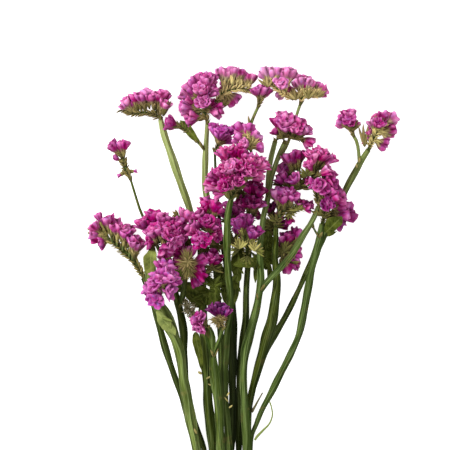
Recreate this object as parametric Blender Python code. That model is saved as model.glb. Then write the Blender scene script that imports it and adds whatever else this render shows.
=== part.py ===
"""Dried statice: a loose bunch lying on its side, in metres, +Z up, resting on z = 0.

The bunch is laid out on a plan grid (u to the right, v towards the cut ends, 450 units wide)
seen from EYE_HEIGHT above the surface, and each point also has its own height in millimetres.
Every stem is a flattened, winged rod drawn along its own path. Every flower head is a short
green axis with bud-shaped lumps, each of which stands for a fan of papery flowers.
"""

import bmesh
import bpy
from math import pi
from mathutils import Matrix, Vector

# Driving dimensions
UNIT_MM = 0.85          # one plan unit at MID_HEIGHT
MID_HEIGHT = 40.0       # mm, height at which the plan is to scale
EYE_HEIGHT = 1500.0     # mm, height the plan is drawn from
CENTRE = 225.0          # middle of the plan grid
SHIFT = (-14.7, 98.5)  # mm, from the middle of the grid to the object's origin
WING = 0.30             # half thickness of a stem over its full width
LUMP_SIDES = 5          # facets round a flower lump
ON_FLOOR = None         # a height that means: resting on the surface

# Colours, (red, green, blue, alpha), and roughness
STEM_GREEN = ((0.115, 0.165, 0.035, 1.0), 0.62)
LEAF_GREEN = ((0.155, 0.215, 0.045, 1.0), 0.60)
MAGENTA = ((0.545, 0.050, 0.300, 1.0), 0.75)
DARK_MAGENTA = ((0.290, 0.010, 0.130, 1.0), 0.75)
PALE_PINK = ((0.640, 0.140, 0.440, 1.0), 0.75)
TAN = ((0.300, 0.230, 0.120, 1.0), 0.80)

# Stems: paths of (u, v, height, width in mm), from the flower end to the cut end.
# The first path is the stem, the others are its side branches, which start inside it.
STEMS = {
    "stem_left_outer": [
        [(143.8, 277.5, 18.7, 5.2), (147, 285, 19, 5.5), (152, 300, 19.5, 5.5), (157, 317, 19.5, 6),
         (161, 332, 18, 6), (167, 354, 14.5, 6), (175.4, 379, 9.5, 5.5), (184, 403, 5.5, 5.5),
         (191, 430, 2.6, 5.5), (195.8, 455, ON_FLOOR, 5.5), (199, 500, ON_FLOOR, 5.5),
         (199, 598, ON_FLOOR, 5.5)],
    ],
    "stem_left_winged": [
        [(153, 247, 30, 4), (150.6, 260, 32, 11.5), (150.8, 271, 32.6, 10.5), (151.5, 286, 33, 7),
         (155, 300, 34, 9), (160, 309, 34, 12), (165.5, 319, 33, 12.5), (171, 329, 32, 11),
         (175.5, 339, 30.4, 8.5), (180.4, 354, 27, 8.5), (183.4, 379, 22, 9),
         (188, 405, 17, 9.5), (192.8, 430, 12.5, 9), (197.6, 455, 9, 8), (201.5, 500, 6.1, 7),
         (202, 592, 6.1, 7)],
        [(156, 307, 34.6, 4.4), (157.6, 303.6, 37.2, 3.6)],
    ],
    "stem_left_thin": [
        [(130.5, 179, 26, 2), (135, 194, 25, 2.2), (140.5, 211, 23, 2.4), (150, 232, 21, 3),
         (162, 256, 20, 3.5), (171, 280, 20.5, 4), (178, 303, 21, 7.5), (182, 320, 20.5, 7.5),
         (184, 335, 19.5, 6.5), (184.4, 352, 17.5, 5), (186, 379, 13.5, 5), (190.2, 405, 9.8, 5),
         (197.3, 430, 6.5, 5), (205, 455, 4, 5), (208, 500, ON_FLOOR, 5.5),
         (209, 604, ON_FLOOR, 5.5)],
        [(179, 309, 21, 4.4), (182.6, 296, 26, 5), (185, 284, 33, 4.6), (186.3, 277.5, 37, 3.4)],
    ],
    "stem_left_tall": [
        [(160.6, 119, 24, 4.4), (164.4, 135, 25, 6.4), (170.8, 155, 26, 6.8), (179, 178, 26.5, 6.6),
         (187, 200, 26, 6.2), (193, 220, 24.5, 6), (199, 240, 23, 6), (202, 265, 22.5, 6),
         (203.5, 290, 22.5, 6), (203.5, 315, 22.5, 6.5), (204.6, 335, 22, 8), (206, 354, 20.5, 9),
         (207, 379, 17.5, 9), (209, 411, 13.5, 9), (211.8, 435, 11, 8.5), (213.2, 460, 8.8, 8),
         (212.5, 500, 6.1, 7), (212.5, 600, 6.1, 7)],
        [(200.5, 252, 22.8, 3), (203.5, 250, 27, 3), (205.6, 248, 30, 3)],
        [(203.3, 287, 22.6, 3), (205.6, 281, 25, 2.8), (207.6, 277.6, 27, 2.6)],
    ],
    "stem_front_forked": [
        [(223, 328.5, 43, 3), (219, 340, 39.5, 3.2), (213.8, 354, 34, 5.4), (214, 367, 32, 8.6),
         (215.5, 380, 30, 8.4), (217.2, 393, 28, 8), (219.2, 417, 23.5, 8.2), (220.4, 435, 19.5, 8.2),
         (221.4, 458, 15, 7.4), (222.5, 500, 7.5, 6.5), (223, 590, 6.1, 6.5)],
        [(213.4, 357, 33.6, 4.5), (211.2, 345, 37, 7.4), (210.4, 335, 39.5, 9),
         (208.6, 327.5, 41, 5.4)],
    ],
    "stem_front_long": [
        [(231.5, 197.5, 60, 4.5), (229, 210, 60, 5.5), (227.5, 225, 59, 6), (227, 249, 56, 6),
         (228, 272, 50, 6), (230.5, 295, 43, 6), (230, 312, 37.5, 6), (228, 326, 34.5, 6),
         (226, 341, 31, 6), (225, 360, 27.5, 6.5), (224.5, 379, 24.5, 7), (225.5, 405, 20.5, 6.5),
         (227.5, 430, 16.5, 6.5), (229.5, 458, 12.5, 6.5), (232, 500, 6.1, 6.5), (233, 602, 6.1, 6.5)],
    ],
    "stem_middle_dark": [
        [(214.8, 151, 36, 2.2), (215.5, 170, 34, 2.4), (217, 190, 31, 2.8), (219, 215, 27, 3.2),
         (221.5, 240, 23.5, 3.8), (226.4, 265, 21, 5.5), (231, 295, 19.5, 8.6), (232.8, 328, 18, 7.6),
         (232.6, 354, 17, 7), (232.6, 379, 14.4, 7.2), (232.4, 405, 11.2, 7.2), (231.6, 430, 8.4, 7),
         (230.4, 455, 5.6, 6.4), (227.5, 500, ON_FLOOR, 5.5), (227.5, 596, ON_FLOOR, 5.5)],
    ],
    "stem_middle_tall": [
        [(207.3, 123, 30, 3.5), (206.2, 140, 30, 4.4), (205.3, 160, 30, 5.4), (205.4, 180, 29, 5.8),
         (207, 200, 28, 5.6), (209.5, 225, 25, 4.5), (213, 250, 22, 4.5), (216.5, 280, 19.5, 5),
         (219, 310, 17.5, 5), (220.5, 335, 16, 5), (221, 360, 13.8, 5), (220.5, 385, 11, 5),
         (219.5, 410, 8.2, 5), (218.5, 435, 5.6, 5), (218, 460, 3.4, 5.5), (218, 500, ON_FLOOR, 5.5),
         (218, 608, ON_FLOOR, 5.5)],
        [(205.2, 150.5, 30, 3), (196.8, 140, 30.5, 3), (190.8, 133.2, 31.5, 3.4)],
    ],
    "stem_centre_branched": [
        [(284.4, 142.5, 33, 3.5), (278, 157, 33, 4), (271.6, 177, 33, 4.8), (268, 198, 34, 5),
         (263, 220, 35, 5), (260, 245, 36, 5), (260, 262, 36, 5.5), (261, 283, 35, 6.5),
         (258.5, 298, 33, 7), (254.5, 316, 31, 7.5), (249.4, 335, 28, 8), (245, 354, 25.5, 7),
         (243.4, 379, 22.5, 6.6), (244.8, 405, 19, 7.6), (246.5, 430, 15.8, 8), (247, 458, 12.5, 8),
         (244, 500, 6.6, 7), (243, 606, 6.1, 7)],
        [(267.8, 197, 34, 3.8), (267.5, 182, 33.5, 3.8), (270.4, 162, 33.5, 4.4),
         (275.2, 141, 34.2, 4.2)],
        [(261, 290, 34.6, 5), (267.4, 281.6, 36.5, 5.4), (274.6, 274.4, 38, 5.4), (284, 263.5, 39, 5.5),
         (292, 254, 39.5, 6), (298, 244, 39.5, 6), (303, 235, 39.5, 5.5), (310, 225, 39.5, 5),
         (316, 214, 39.5, 4.5), (318.6, 206.5, 39.5, 4)],
        [(278, 160, 32.6, 3), (286, 147, 27, 2.8), (292.5, 130, 23, 2.6), (297.3, 113, 23, 2.6),
         (300.6, 103.5, 24.5, 2.6)],
    ],
    "stem_centre_thin": [
        [(258.3, 106.5, 28, 2.6), (254, 116, 28, 2.6), (250, 127, 27.5, 3), (247, 145, 25, 3),
         (246, 170, 21, 3), (247.5, 200, 17, 3.6), (249, 230, 15, 4), (249, 255, 15, 4.5),
         (248, 270, 16, 5), (246.5, 285, 17, 5.5), (246, 305, 17, 6), (245, 323, 16.5, 6),
         (243, 340, 15.5, 6), (240.6, 360, 14, 6), (239.4, 385, 11.2, 6.4), (239.4, 410, 8.5, 6.4),
         (239.2, 435, 5.8, 6.4), (238.5, 460, 3.4, 5.5), (237, 500, ON_FLOOR, 5.5),
         (237, 600, ON_FLOOR, 5.5)],
        [(249.2, 238, 15, 3.4), (250.5, 229, 22, 3.2), (251.5, 223, 28, 2.8)],
        [(248.2, 266, 16, 3.4), (247, 259.5, 22, 3.4), (246.5, 255.5, 29, 3)],
    ],
    "stem_right_broad": [
        [(276, 227, 31, 4), (275.5, 240, 30.5, 5), (275, 256, 30, 5.5), (277, 275, 29, 6.5),
         (275.8, 295, 28, 8), (271.8, 318, 26, 9.6), (267.2, 337, 24, 9.8), (262.4, 354, 21.5, 8.2),
         (257.5, 370, 19.2, 7), (253, 385, 16.2, 6.4), (250, 400, 13.6, 5.8), (248.3, 415, 10.8, 5.5),
         (247.8, 435, 7.4, 5.5), (247, 460, 5.3, 5.5), (246.3, 500, ON_FLOOR, 5.5),
         (246.3, 594, ON_FLOOR, 5.5)],
    ],
    "stem_far_right": [
        [(368.5, 149.5, 22.5, 4.5), (360.6, 162, 21, 5), (356.8, 169, 20, 5.5), (346.8, 188, 16, 6),
         (334.8, 211, 12, 6.4), (323, 235, 12, 7), (314.2, 256, 12.5, 6.5), (306.3, 273, 13.5, 5.5),
         (299, 289, 14, 5), (287.4, 313, 14, 5), (275.8, 333, 13, 5.5), (267.4, 348, 11.6, 6),
         (260.5, 365, 9.8, 6), (256, 380, 8, 5.5), (251, 395, 6.6, 5.5), (248, 410, 5.4, 5.5),
         (247.4, 435, 3.4, 5.5), (250.8, 460, ON_FLOOR, 5.5), (253.4, 500, ON_FLOOR, 5.5),
         (253.4, 602, ON_FLOOR, 5.5)],
        [(359.5, 163.5, 21.2, 3.2), (358.6, 152, 22, 3), (356.8, 142, 22.8, 3), (353.4, 135.5, 23.5, 3)],
    ],
    "stem_right": [
        [(322.5, 223.5, 36, 4.5), (320.5, 236, 35, 7), (316.5, 252, 34, 7), (312, 268, 33, 6.5),
         (309, 283, 32, 6.5), (304, 311, 30, 6.5), (299.2, 334, 27.5, 6.5), (291.6, 352, 25, 6.5),
         (284.6, 366, 22.5, 6), (271.4, 392, 17.5, 5.5), (262.4, 409, 14.8, 5), (256.2, 424, 12.6, 4.6),
         (251.8, 436, 10.8, 4.2), (250.6, 456, 8.6, 4), (255.5, 500, 5.8, 5.5), (255, 590, 5.8, 5.5)],
        [(320, 238, 34.8, 2.4), (316, 232.5, 35.6, 1.9), (312.6, 226, 36.2, 1.5)],
    ],
}

# Flower heads: ("axis": points of (u, v, height, width in mm)), then the lumps. Each lump is
# (place along the axis in points, u, v, height of its tip, radius in mm), and its colour.
HEADS = {
    "head_top_left": (
        [(160.3, 117.2, 24, 3), (153, 114.5, 24, 3), (144, 113, 23, 3.2), (134, 113.5, 21, 3),
         (123, 110, 20, 2.6)],
        [(0.2, 164.6, 91, 27, 6.2), (0.8, 153, 92, 29, 5.8), (1.8, 143, 92, 26, 6.2),
         (2.6, 135, 95, 23, 5.2), (3.1, 123.5, 101, 22, 5), (0.5, 160, 94, 9, 6.2),
         (1.8, 146, 95, 2, 6.2), (3.0, 130, 100, 2.5, 5), (0.05, 166, 101, 33, 4.8)], MAGENTA),
    "head_left_small": (
        [(130, 177.6, 26, 2.4), (126, 170, 26, 6), (123.5, 160, 26, 5), (121.5, 153, 26, 5)],
        [(2.2, 111, 143, 26, 4.8), (2.4, 125, 141, 27, 4.8), (2.3, 119, 146, 15, 4.5),
         (0.7, 136.5, 171, 27, 2.4), (0.8, 118, 176, 26, 2.6), (1.6, 113, 156, 27, 3.2)], MAGENTA),
    "head_top_round": (
        [(207.3, 121.2, 30, 3.4), (205, 112, 30, 3.6), (204, 103, 31, 3.6), (206, 94, 32, 3),
         (208, 86, 32, 2.4)],
        [(0.4, 187, 117.6, 31, 7.2), (1.0, 182, 105, 33, 6.8), (1.8, 183.4, 93, 28, 6),
         (2.3, 189.4, 81.4, 30, 6), (2.8, 199.6, 74.4, 29, 5.5), (2.3, 201, 87, 45, 6),
         (2.8, 207, 76, 41, 6), (1.6, 203, 101, 45, 5.6), (2.2, 214, 88, 39, 5),
         (3.0, 213, 73, 30, 5), (1.0, 221, 111, 34, 6), (1.6, 195, 96, 3, 7),
         (2.2, 211, 84, 3, 6.5), (0.8, 188, 109, 3, 6.6), (1.2, 213, 104, 12, 6)], MAGENTA),
    "head_top_turned": (
        [(216.5, 100, 30, 2.4), (223, 93, 30, 3.2), (233, 89.5, 29, 3.4), (242, 89, 28, 3),
         (250, 91, 27, 2.6)],
        [(1.0, 224, 72, 23, 5.6), (2.0, 231, 68, 23, 5.6), (2.8, 241, 71, 21, 5),
         (3.7, 250, 76, 18, 4.6), (1.2, 232.4, 99.4, 20, 6), (2.4, 234, 79, 2.5, 6.5),
         (0.9, 226, 88, 3, 6.5), (0.5, 224, 103, 18, 4)], MAGENTA),
    "head_left_bud": (
        [(189.7, 132.1, 31.6, 3.4), (184, 128, 32, 5), (179, 125.8, 32, 5)],
        [(1.6, 166, 122, 33, 5.6), (1.6, 169, 124, 23, 5)], MAGENTA),
    "head_upper_funnel": (
        [(215.6, 149.4, 36, 2.4), (218, 146.5, 37, 4.2), (220, 143, 38, 4)],
        [(1.1, 216, 126, 40.5, 5.4), (1.25, 227.6, 127, 40, 6), (1.4, 221.6, 130.4, 46, 5.8),
         (0.9, 221.4, 129.6, 29, 5.6), (1.5, 229, 137, 35, 4.4)], MAGENTA),
    "head_front_top": (
        [(251, 151, 60, 3), (249, 144, 59, 5), (247, 138, 58, 4.6)],
        [(1.4, 241, 125.4, 52, 5.4), (1.6, 250, 127, 53, 5.2), (1.4, 257.4, 135, 55, 4.8),
         (0.4, 262.6, 146, 59, 4.8), (1.0, 235, 136.6, 57, 4.6), (0.6, 243, 141, 67, 3.6)], PALE_PINK),
    "head_front": (
        [(232, 196, 62, 4), (234, 190, 64, 5), (238, 183, 65, 5), (243, 177, 65, 4.6)],
        [(1.4, 224, 150.4, 66, 7.2), (2.2, 237, 147, 65, 7.4), (2.8, 251, 157, 70, 7),
         (2.8, 264, 161, 64, 7.2), (2.6, 262, 174, 60, 6), (1.6, 231, 165, 80, 7.6),
         (2.4, 246, 167, 80, 7.6), (1.2, 221, 167, 74, 6.6), (0.8, 225, 182, 76, 6.8),
         (1.4, 238, 179, 80, 6.2), (0.9, 212, 173.4, 62, 6.4), (0.6, 207.4, 186.4, 61, 5.2),
         (2.0, 232, 158, 50, 7.2), (2.7, 253, 166, 48, 7.2), (1.2, 219, 172, 50, 6.8),
         (0.7, 215, 193, 56, 5)], MAGENTA),
    "head_behind_front": (
        [(252, 221.5, 30, 3), (253, 214, 35, 4), (254, 207, 38, 4)],
        [(1.4, 250, 184, 43, 6.6), (1.5, 259, 187, 41, 6.4), (1.3, 262, 201, 39.5, 5),
         (1.1, 240, 200, 42, 5), (1.2, 251, 200, 48, 6.6), (1.3, 254, 188, 26, 6.4),
         (0.9, 257, 213, 28, 4)], DARK_MAGENTA),
    "head_middle_dark": (
        [(228.6, 240, 25, 3), (229.4, 228, 26, 3.6), (231, 216, 28, 4)],
        [(1.5, 232, 203, 31, 6), (1.2, 225.5, 212, 33, 4.4), (1.6, 241, 207, 31, 5)], DARK_MAGENTA),
    "head_centre_green": (
        [(246.8, 254.2, 31, 3), (247, 250, 36, 4.4), (248, 247, 40, 4.4)],
        [(1.0, 238, 219, 44, 6.4), (1.4, 255, 229, 46, 6.4), (1.4, 247, 216, 39, 5.2),
         (1.2, 240, 228, 29, 5.4)], MAGENTA),
    "head_centre_left": (
        [(206, 246, 32, 3.4), (208, 240, 37, 4.2), (209, 232, 41, 4.2), (210, 224, 43, 3.6)],
        [(3.0, 206, 198, 44, 5.6), (2.8, 219, 203, 45, 6.2), (2.2, 198, 212, 46, 6.6),
         (2.0, 206, 220, 57, 6), (1.8, 215, 222, 54, 5.4), (1.6, 218, 235, 49, 5),
         (0.8, 195, 238, 51, 6.6), (1.0, 204, 239, 58, 5.6), (1.2, 190, 227, 45, 6),
         (2.0, 205, 214, 34, 5)], MAGENTA),
    "head_left_spike": (
        [(143.2, 275.8, 18.6, 4.8), (134.4, 261, 18, 7.4), (124.6, 251, 17, 6.4), (115, 243.4, 16, 5),
         (105, 238, 15, 3.4)],
        [(3.6, 97, 213.4, 20, 3.6), (3.2, 107.4, 217.6, 22, 5.2), (2.7, 118, 224.4, 22, 5),
         (2.1, 126, 228.6, 25, 6), (1.4, 136, 236.4, 26, 6), (3.7, 91, 225.6, 20, 4.4),
         (3.5, 91, 237, 19, 4.4), (3.4, 99, 244, 18, 4), (1.0, 136, 241, 29, 4.6),
         (1.8, 128, 228, 2, 6.4), (2.8, 113, 221, 2, 6.2), (3.3, 97, 224, 4, 5),
         (0.8, 139, 243, 3, 5)], MAGENTA),
    "head_left_mass": (
        [(154, 244.6, 31.5, 3.6), (157, 242, 35, 5), (163, 240, 38, 5), (170, 238, 39, 5),
         (178, 232, 38, 4)],
        [(0.2, 141.4, 219.6, 33, 6.4), (0.9, 156, 212, 38, 6.2), (1.6, 164, 215, 43, 5.6),
         (3.0, 176, 220, 40, 6.6), (0.9, 152, 229, 48, 6.4), (1.7, 161, 226, 53, 6),
         (2.4, 169, 232, 54, 6.2), (3.2, 181, 233, 47, 6), (4.0, 189, 212, 38, 5.8),
         (2.9, 177, 244, 53, 6.2), (1.8, 167.4, 252.4, 53, 6.2), (0.4, 148, 242, 38, 5.8),
         (2.2, 168, 224, 2.5, 6.6), (3.2, 180, 222, 15, 5.8),
         (2.6, 174, 236, 2.5, 6.2)], MAGENTA),
    "head_left_low": (
        [(158.2, 301.6, 39.4, 3.4), (160, 294, 44, 4.4), (163, 287, 46, 4.6), (165, 280, 46, 4)],
        [(3.0, 166, 263, 48, 6), (2.4, 157, 272, 55, 6), (2.4, 173, 275, 57, 6.6),
         (1.6, 171, 290, 56, 6.2), (1.4, 154, 283, 57, 6), (0.8, 154, 297, 52, 5.6),
         (0.9, 144, 288, 45, 5), (2.0, 165, 277, 62, 5.4)], PALE_PINK),
    "head_turned_away": (
        [(186.9, 275, 40, 3), (188, 267, 45, 5.4), (188.5, 262, 47, 5.4)],
        [(1.6, 178, 249, 37, 5.6), (1.7, 191, 247, 41, 5.6), (1.4, 202, 262, 38, 6),
         (1.0, 200, 275, 37, 6), (0.8, 196, 283, 36, 5), (1.2, 175, 262, 37, 5.6)], MAGENTA),
    "head_dark_small": (
        [(208, 276, 28, 2.6), (210.5, 270, 34, 3.4), (212.5, 266, 37, 3)],
        [(1.4, 211, 254, 42, 5.2), (1.6, 217, 257, 40, 4.8)], DARK_MAGENTA),
    "head_right_low": (
        [(280, 264, 27, 3), (284, 258, 25, 4.6), (287, 252, 23, 4.6), (288, 244, 22, 3.6)],
        [(2.2, 299, 230, 22, 6.6), (2.4, 285, 234, 24, 6), (1.4, 297, 254, 19, 6.2),
         (0.7, 297, 266, 17, 3.8), (1.8, 293, 246, 2.5, 7), (1.2, 281, 246, 10, 6.4), (0.5, 288, 269.4, 20, 5.2)], DARK_MAGENTA),
    "head_right_dark": (
        [(272, 233, 18, 3), (272, 223, 21, 4), (271, 215, 24, 4)],
        [(1.5, 269, 204, 26, 5), (0.9, 279, 214, 20, 5), (0.5, 284, 223, 14, 5)], DARK_MAGENTA),
    "head_right_pale": (
        [(276.4, 225, 33, 3), (279, 217, 36, 4), (284, 210, 38, 4), (291, 204.5, 40, 3.4)],
        [(1.1, 277, 189, 44, 5.6), (2.0, 284, 192, 45, 5.4), (2.8, 292, 191, 47, 5.8),
         (1.8, 281, 200, 24, 5.6)], PALE_PINK),
    "head_right_bud": (
        [(286, 216.5, 34, 2.2), (292.4, 212, 36, 5), (300, 207.6, 37, 5)],
        [(1.8, 300, 200, 38, 4.6), (2.0, 311.4, 206, 38, 4.8), (0.6, 290, 222, 29, 3.6)], MAGENTA),
    "head_right_upper": (
        [(318.3, 204.6, 39.6, 3), (317.4, 197, 38, 3.4), (315.4, 188, 37, 4), (314, 178, 39, 5),
         (314.4, 170, 41, 5)],
        [(3.6, 312, 152, 49, 6.4), (3.8, 323, 150, 47, 6.6), (3.6, 333, 156, 43, 5.4),
         (3.3, 308, 163, 48, 5), (3.4, 317, 155, 29, 6.8), (2.6, 306, 180, 42, 4.4),
         (3.0, 329, 169, 50, 4.8)], MAGENTA),
    "head_right_inner": (
        [(311, 188.6, 38.4, 2), (303.4, 186.8, 37.4, 2.6), (295.4, 187, 36, 3.6), (287, 188, 35, 3)],
        [(1.8, 288, 155.6, 34, 7.2), (1.5, 293, 176.5, 44, 5.8), (1.4, 298, 151.4, 32, 6.2),
         (2.6, 279, 174, 39, 5.2), (2.4, 284, 166, 22, 6)], DARK_MAGENTA),
    "head_right_large": (
        [(323, 221.5, 38, 3.6), (325, 212, 41, 4.4), (324, 202, 42, 4.6), (322, 192, 42, 4.6),
         (323, 183, 41, 4)],
        [(4.0, 330, 169, 36, 5.6), (3.8, 334, 180, 43, 6.2), (3.4, 315, 183, 53, 5),
         (2.9, 322, 187, 55, 6), (2.6, 339.6, 188, 36, 6.2), (2.0, 336, 195, 48, 6),
         (1.4, 330, 204, 51, 5.2), (1.6, 343.4, 201, 34, 6.2), (0.9, 347.4, 214.6, 33, 6.2),
         (0.5, 343, 222, 30, 5), (0.8, 352.4, 212.2, 3, 6.2), (1.6, 345, 197, 21, 5.6)], MAGENTA),
    "head_far_right_small": (
        [(352.8, 133.6, 24, 3), (351.5, 129, 25, 5.6), (350, 124, 26, 6)],
        [(1.4, 339, 119, 26, 5.8), (1.6, 348.6, 112, 27, 6.2), (1.6, 349, 119, 35, 5.4),
         (1.4, 343.4, 121, 5, 6.4), (1.1, 355, 121, 22, 4.6)], MAGENTA),
    "head_far_right": (
        [(369.6, 147.8, 24, 3.4), (373, 140, 26, 4.6), (376.5, 133, 27, 5.6), (379, 127, 27, 5.6)],
        [(1.6, 372.4, 119, 26, 5.6), (2.4, 385, 111.4, 28, 6.6), (2.6, 395, 117, 26, 6.2),
         (2.2, 393, 128, 24, 5.4), (1.0, 386.6, 145.4, 22, 5.2), (2.3, 382, 121, 36, 5.4),
         (0.7, 366, 130, 27, 3.6), (0.3, 364.4, 139.6, 25.4, 3.6),
         (2.0, 380, 118, 3, 7), (1.6, 390, 132, 3, 6.4)], MAGENTA),
    "head_upper_right": (
        [(279, 138.2, 38, 2.6), (284, 135.6, 39, 5), (291, 135, 39, 5), (299, 137.6, 38, 4)],
        [(0.5, 277.4, 118, 41, 6), (1.0, 286, 113, 43, 6.6), (1.8, 298, 117, 43, 6.8),
         (2.8, 308, 127, 42, 6.4), (1.0, 284, 122, 53, 6), (2.0, 296, 126, 52, 5.6),
         (2.9, 312, 144, 37, 4.8), (0.1, 275, 129, 37, 4.6)], MAGENTA),
    "head_top_pale": (
        [(291, 98.6, 27, 2.4), (285, 95, 28, 4), (279, 90, 29, 4), (272, 85, 29, 4)],
        [(2.9, 264, 71, 22, 5.6), (2.6, 276, 69, 21, 6), (1.6, 280, 82, 37, 5.4),
         (1.0, 290, 71, 24, 6.4), (1.6, 282, 77, 3, 6.8), (1.0, 279.6, 93, 23, 4.8)], PALE_PINK),
    "head_top_right": (
        [(301.3, 101.8, 26, 2.6), (302, 97.5, 27, 4.6), (307, 95.8, 27, 5.2), (314, 94.4, 26, 4.6)],
        [(0.9, 299, 80, 26, 5.2), (1.8, 311, 80, 26, 5.2), (2.9, 325.4, 89.4, 24, 6.2),
         (1.6, 304, 82, 3.5, 6.6), (2.4, 315, 87, 3, 6), (0.6, 290, 91, 13, 5)], PALE_PINK),
    "head_top_small": (
        [(258.9, 105, 28.5, 2.6), (260, 101, 29, 3.6)],
        [(0.8, 265, 88, 31, 5.6), (0.8, 263, 90, 21, 5), (0.8, 258, 87, 33, 4.4)], MAGENTA),
    "head_low_purple": (
        [(222.6, 326.9, 44.5, 3), (221.5, 323, 47, 5), (220.5, 320, 49, 5)],
        [(1.5, 212, 307, 51, 5), (1.6, 220, 304, 52, 5), (1.5, 228, 309, 52, 4.6)], DARK_MAGENTA),
    "head_low_pink": (
        [(206, 324.9, 42, 3), (204.5, 322, 43, 4)],
        [(0.8, 198.4, 316.4, 47, 5.2), (0.9, 193.6, 324, 45, 5.4), (0.8, 198, 321, 36, 4.8),
         (0.7, 199.4, 328.6, 47, 4.4)], PALE_PINK),
}

# Free leaves and dried bits: paths of (u, v, height, width in mm), and how flat they are.
LEAVES = {
    "leaf_low_left": ([(195.5, 332, 28, 5), (196.5, 340, 28, 7), (198.5, 350, 27, 6.5),
                       (200.5, 361, 26, 4.5), (202, 371, 24.6, 2)], 0.11, LEAF_GREEN),
    "leaf_right": ([(325.4, 232.6, 38, 4), (330, 228.4, 40.5, 10), (335, 223.4, 43, 12),
                    (342, 216.6, 44, 6)], 0.07, LEAF_GREEN),
    "leaf_centre": ([(233, 265, 31.5, 3), (240, 264, 32.4, 7), (251, 262, 32.8, 8),
                     (261, 259.5, 32.6, 6.5), (268, 257.5, 32, 2.5)], 0.07, LEAF_GREEN),
    "leaf_dark_upper": ([(184.6, 282.6, 28.6, 2.5), (191.6, 288, 28.8, 10), (201, 293.6, 28.8, 15),
                         (212.6, 297, 28.8, 15), (222, 298.4, 28.8, 6)], 0.07, STEM_GREEN),
    "leaf_right_inner": ([(266, 270, 22, 3), (266, 259, 23, 11), (267.5, 247, 23.6, 13),
                          (268.4, 238, 24.4, 10), (268, 230.5, 25, 4)], 0.08, LEAF_GREEN),
    "bract_right": ([(326.4, 236.4, 33, 2), (329, 234.8, 33.4, 3), (332.6, 233.2, 33.8, 3),
                     (337, 231.4, 34, 1.6)], 0.12, LEAF_GREEN),
    "leaf_behind_centre": ([(239.6, 238, 21.6, 4), (238.6, 248, 21.6, 9), (237.6, 262, 23, 10.5),
                            (237.6, 275, 24.4, 9), (238, 284, 25, 4)], 0.08, STEM_GREEN),
    "leaf_dark_left": ([(213.4, 278.5, 33, 4), (214.2, 284, 34, 9), (215, 293, 34, 10),
                        (215.6, 303, 33.4, 4)], 0.08, STEM_GREEN),
    "leaf_dark_middle": ([(219, 262, 26, 3), (220.8, 270, 25.6, 7), (221.6, 281, 25.2, 8),
                          (222.6, 290, 24.8, 4)], 0.08, STEM_GREEN),
    "leaf_left_back": ([(183.6, 293.6, 22.4, 3), (181.6, 286, 21.4, 9), (180.6, 277, 20.4, 10.5),
                        (181.2, 268, 20.4, 7), (182.6, 261, 21, 2.5)], 0.08, STEM_GREEN),
    "leaf_left_wing": ([(156.2, 311.6, 39.6, 3), (160.4, 316, 39.8, 9), (165.4, 322, 38.8, 10),
                        (170.8, 328.6, 37.4, 7), (175.6, 335.6, 35.6, 2.5)], 0.07, LEAF_GREEN),
    "dried_calyx": ([(184.4, 300.5, 31, 4), (187.6, 305, 31.6, 10), (190.6, 311, 31.6, 11.5),
                     (193.6, 318.4, 30.6, 6)], 0.18, TAN),
    "dried_tendril": ([(269.6, 401.5, 20.5, 1.2), (271.4, 407, 20, 1.2), (272.4, 415, 18.5, 1.3),
                       (269.4, 423.6, 17, 1.5), (262.4, 431, 15.8, 2), (257.4, 436.2, 14.9, 2.4),
                       (254.8, 440, 14.2, 1.8)],
                      0.5, TAN),
    "dried_twig": ([(251.6, 412, 14.2, 2.6), (255.5, 405.5, 15.6, 1.8), (259, 399, 17, 1.3),
                    (262.6, 392.7, 18.4, 1)], 0.5, TAN),
}


def at(u, v, height):
    """A plan point at a height, in metres in the object's own frame."""
    scale = UNIT_MM * (EYE_HEIGHT - height) / (EYE_HEIGHT - MID_HEIGHT)
    return Vector(((u - CENTRE) * scale + SHIFT[0], (CENTRE - v) * scale + SHIFT[1], height)) / 1000


def finish(name, colour):
    """A plain material with the part's own colour."""
    tint, roughness = colour
    material = bpy.data.materials.new(name)
    material.use_nodes = True
    shader = material.node_tree.nodes["Principled BSDF"]
    shader.inputs["Base Color"].default_value = tint
    shader.inputs["Roughness"].default_value = roughness
    shader.inputs["Metallic"].default_value = 0.0
    material.diffuse_color = tint
    return material


def evaluated_copy(obj, name):
    """The object's evaluated shape as a mesh of its own, with its caps welded."""
    graph = bpy.context.evaluated_depsgraph_get()
    graph.update()
    mesh = bpy.data.meshes.new_from_object(obj.evaluated_get(graph))
    shape = bmesh.new()
    shape.from_mesh(mesh)
    bmesh.ops.remove_doubles(shape, verts=shape.verts, dist=1e-6)
    bmesh.ops.recalc_face_normals(shape, faces=shape.faces)
    shape.to_mesh(mesh)
    shape.free()
    made = bpy.data.objects.new(name, mesh)
    made.matrix_world = obj.matrix_world
    return made


def section(flatness):
    """The outline that a rod is drawn with: two wing edges and a ridge on each face."""
    outline = bpy.data.curves.new("section", "CURVE")
    outline.dimensions = "2D"
    outline.fill_mode = "NONE"
    spline = outline.splines.new("POLY")
    corners = [(1, 0), (0.42, 1), (-0.42, 1), (-1, 0), (-0.42, -1), (0.42, -1)]
    spline.points.add(len(corners) - 1)
    for point, (x, y) in zip(spline.points, corners):
        point.co = (x, 2 * flatness * y, 0, 1)
    spline.use_cyclic_u = True
    guide = bpy.data.objects.new("section", outline)
    guide.hide_render = True
    guide.display_type = "WIRE"
    guides.objects.link(guide)
    return guide


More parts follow.
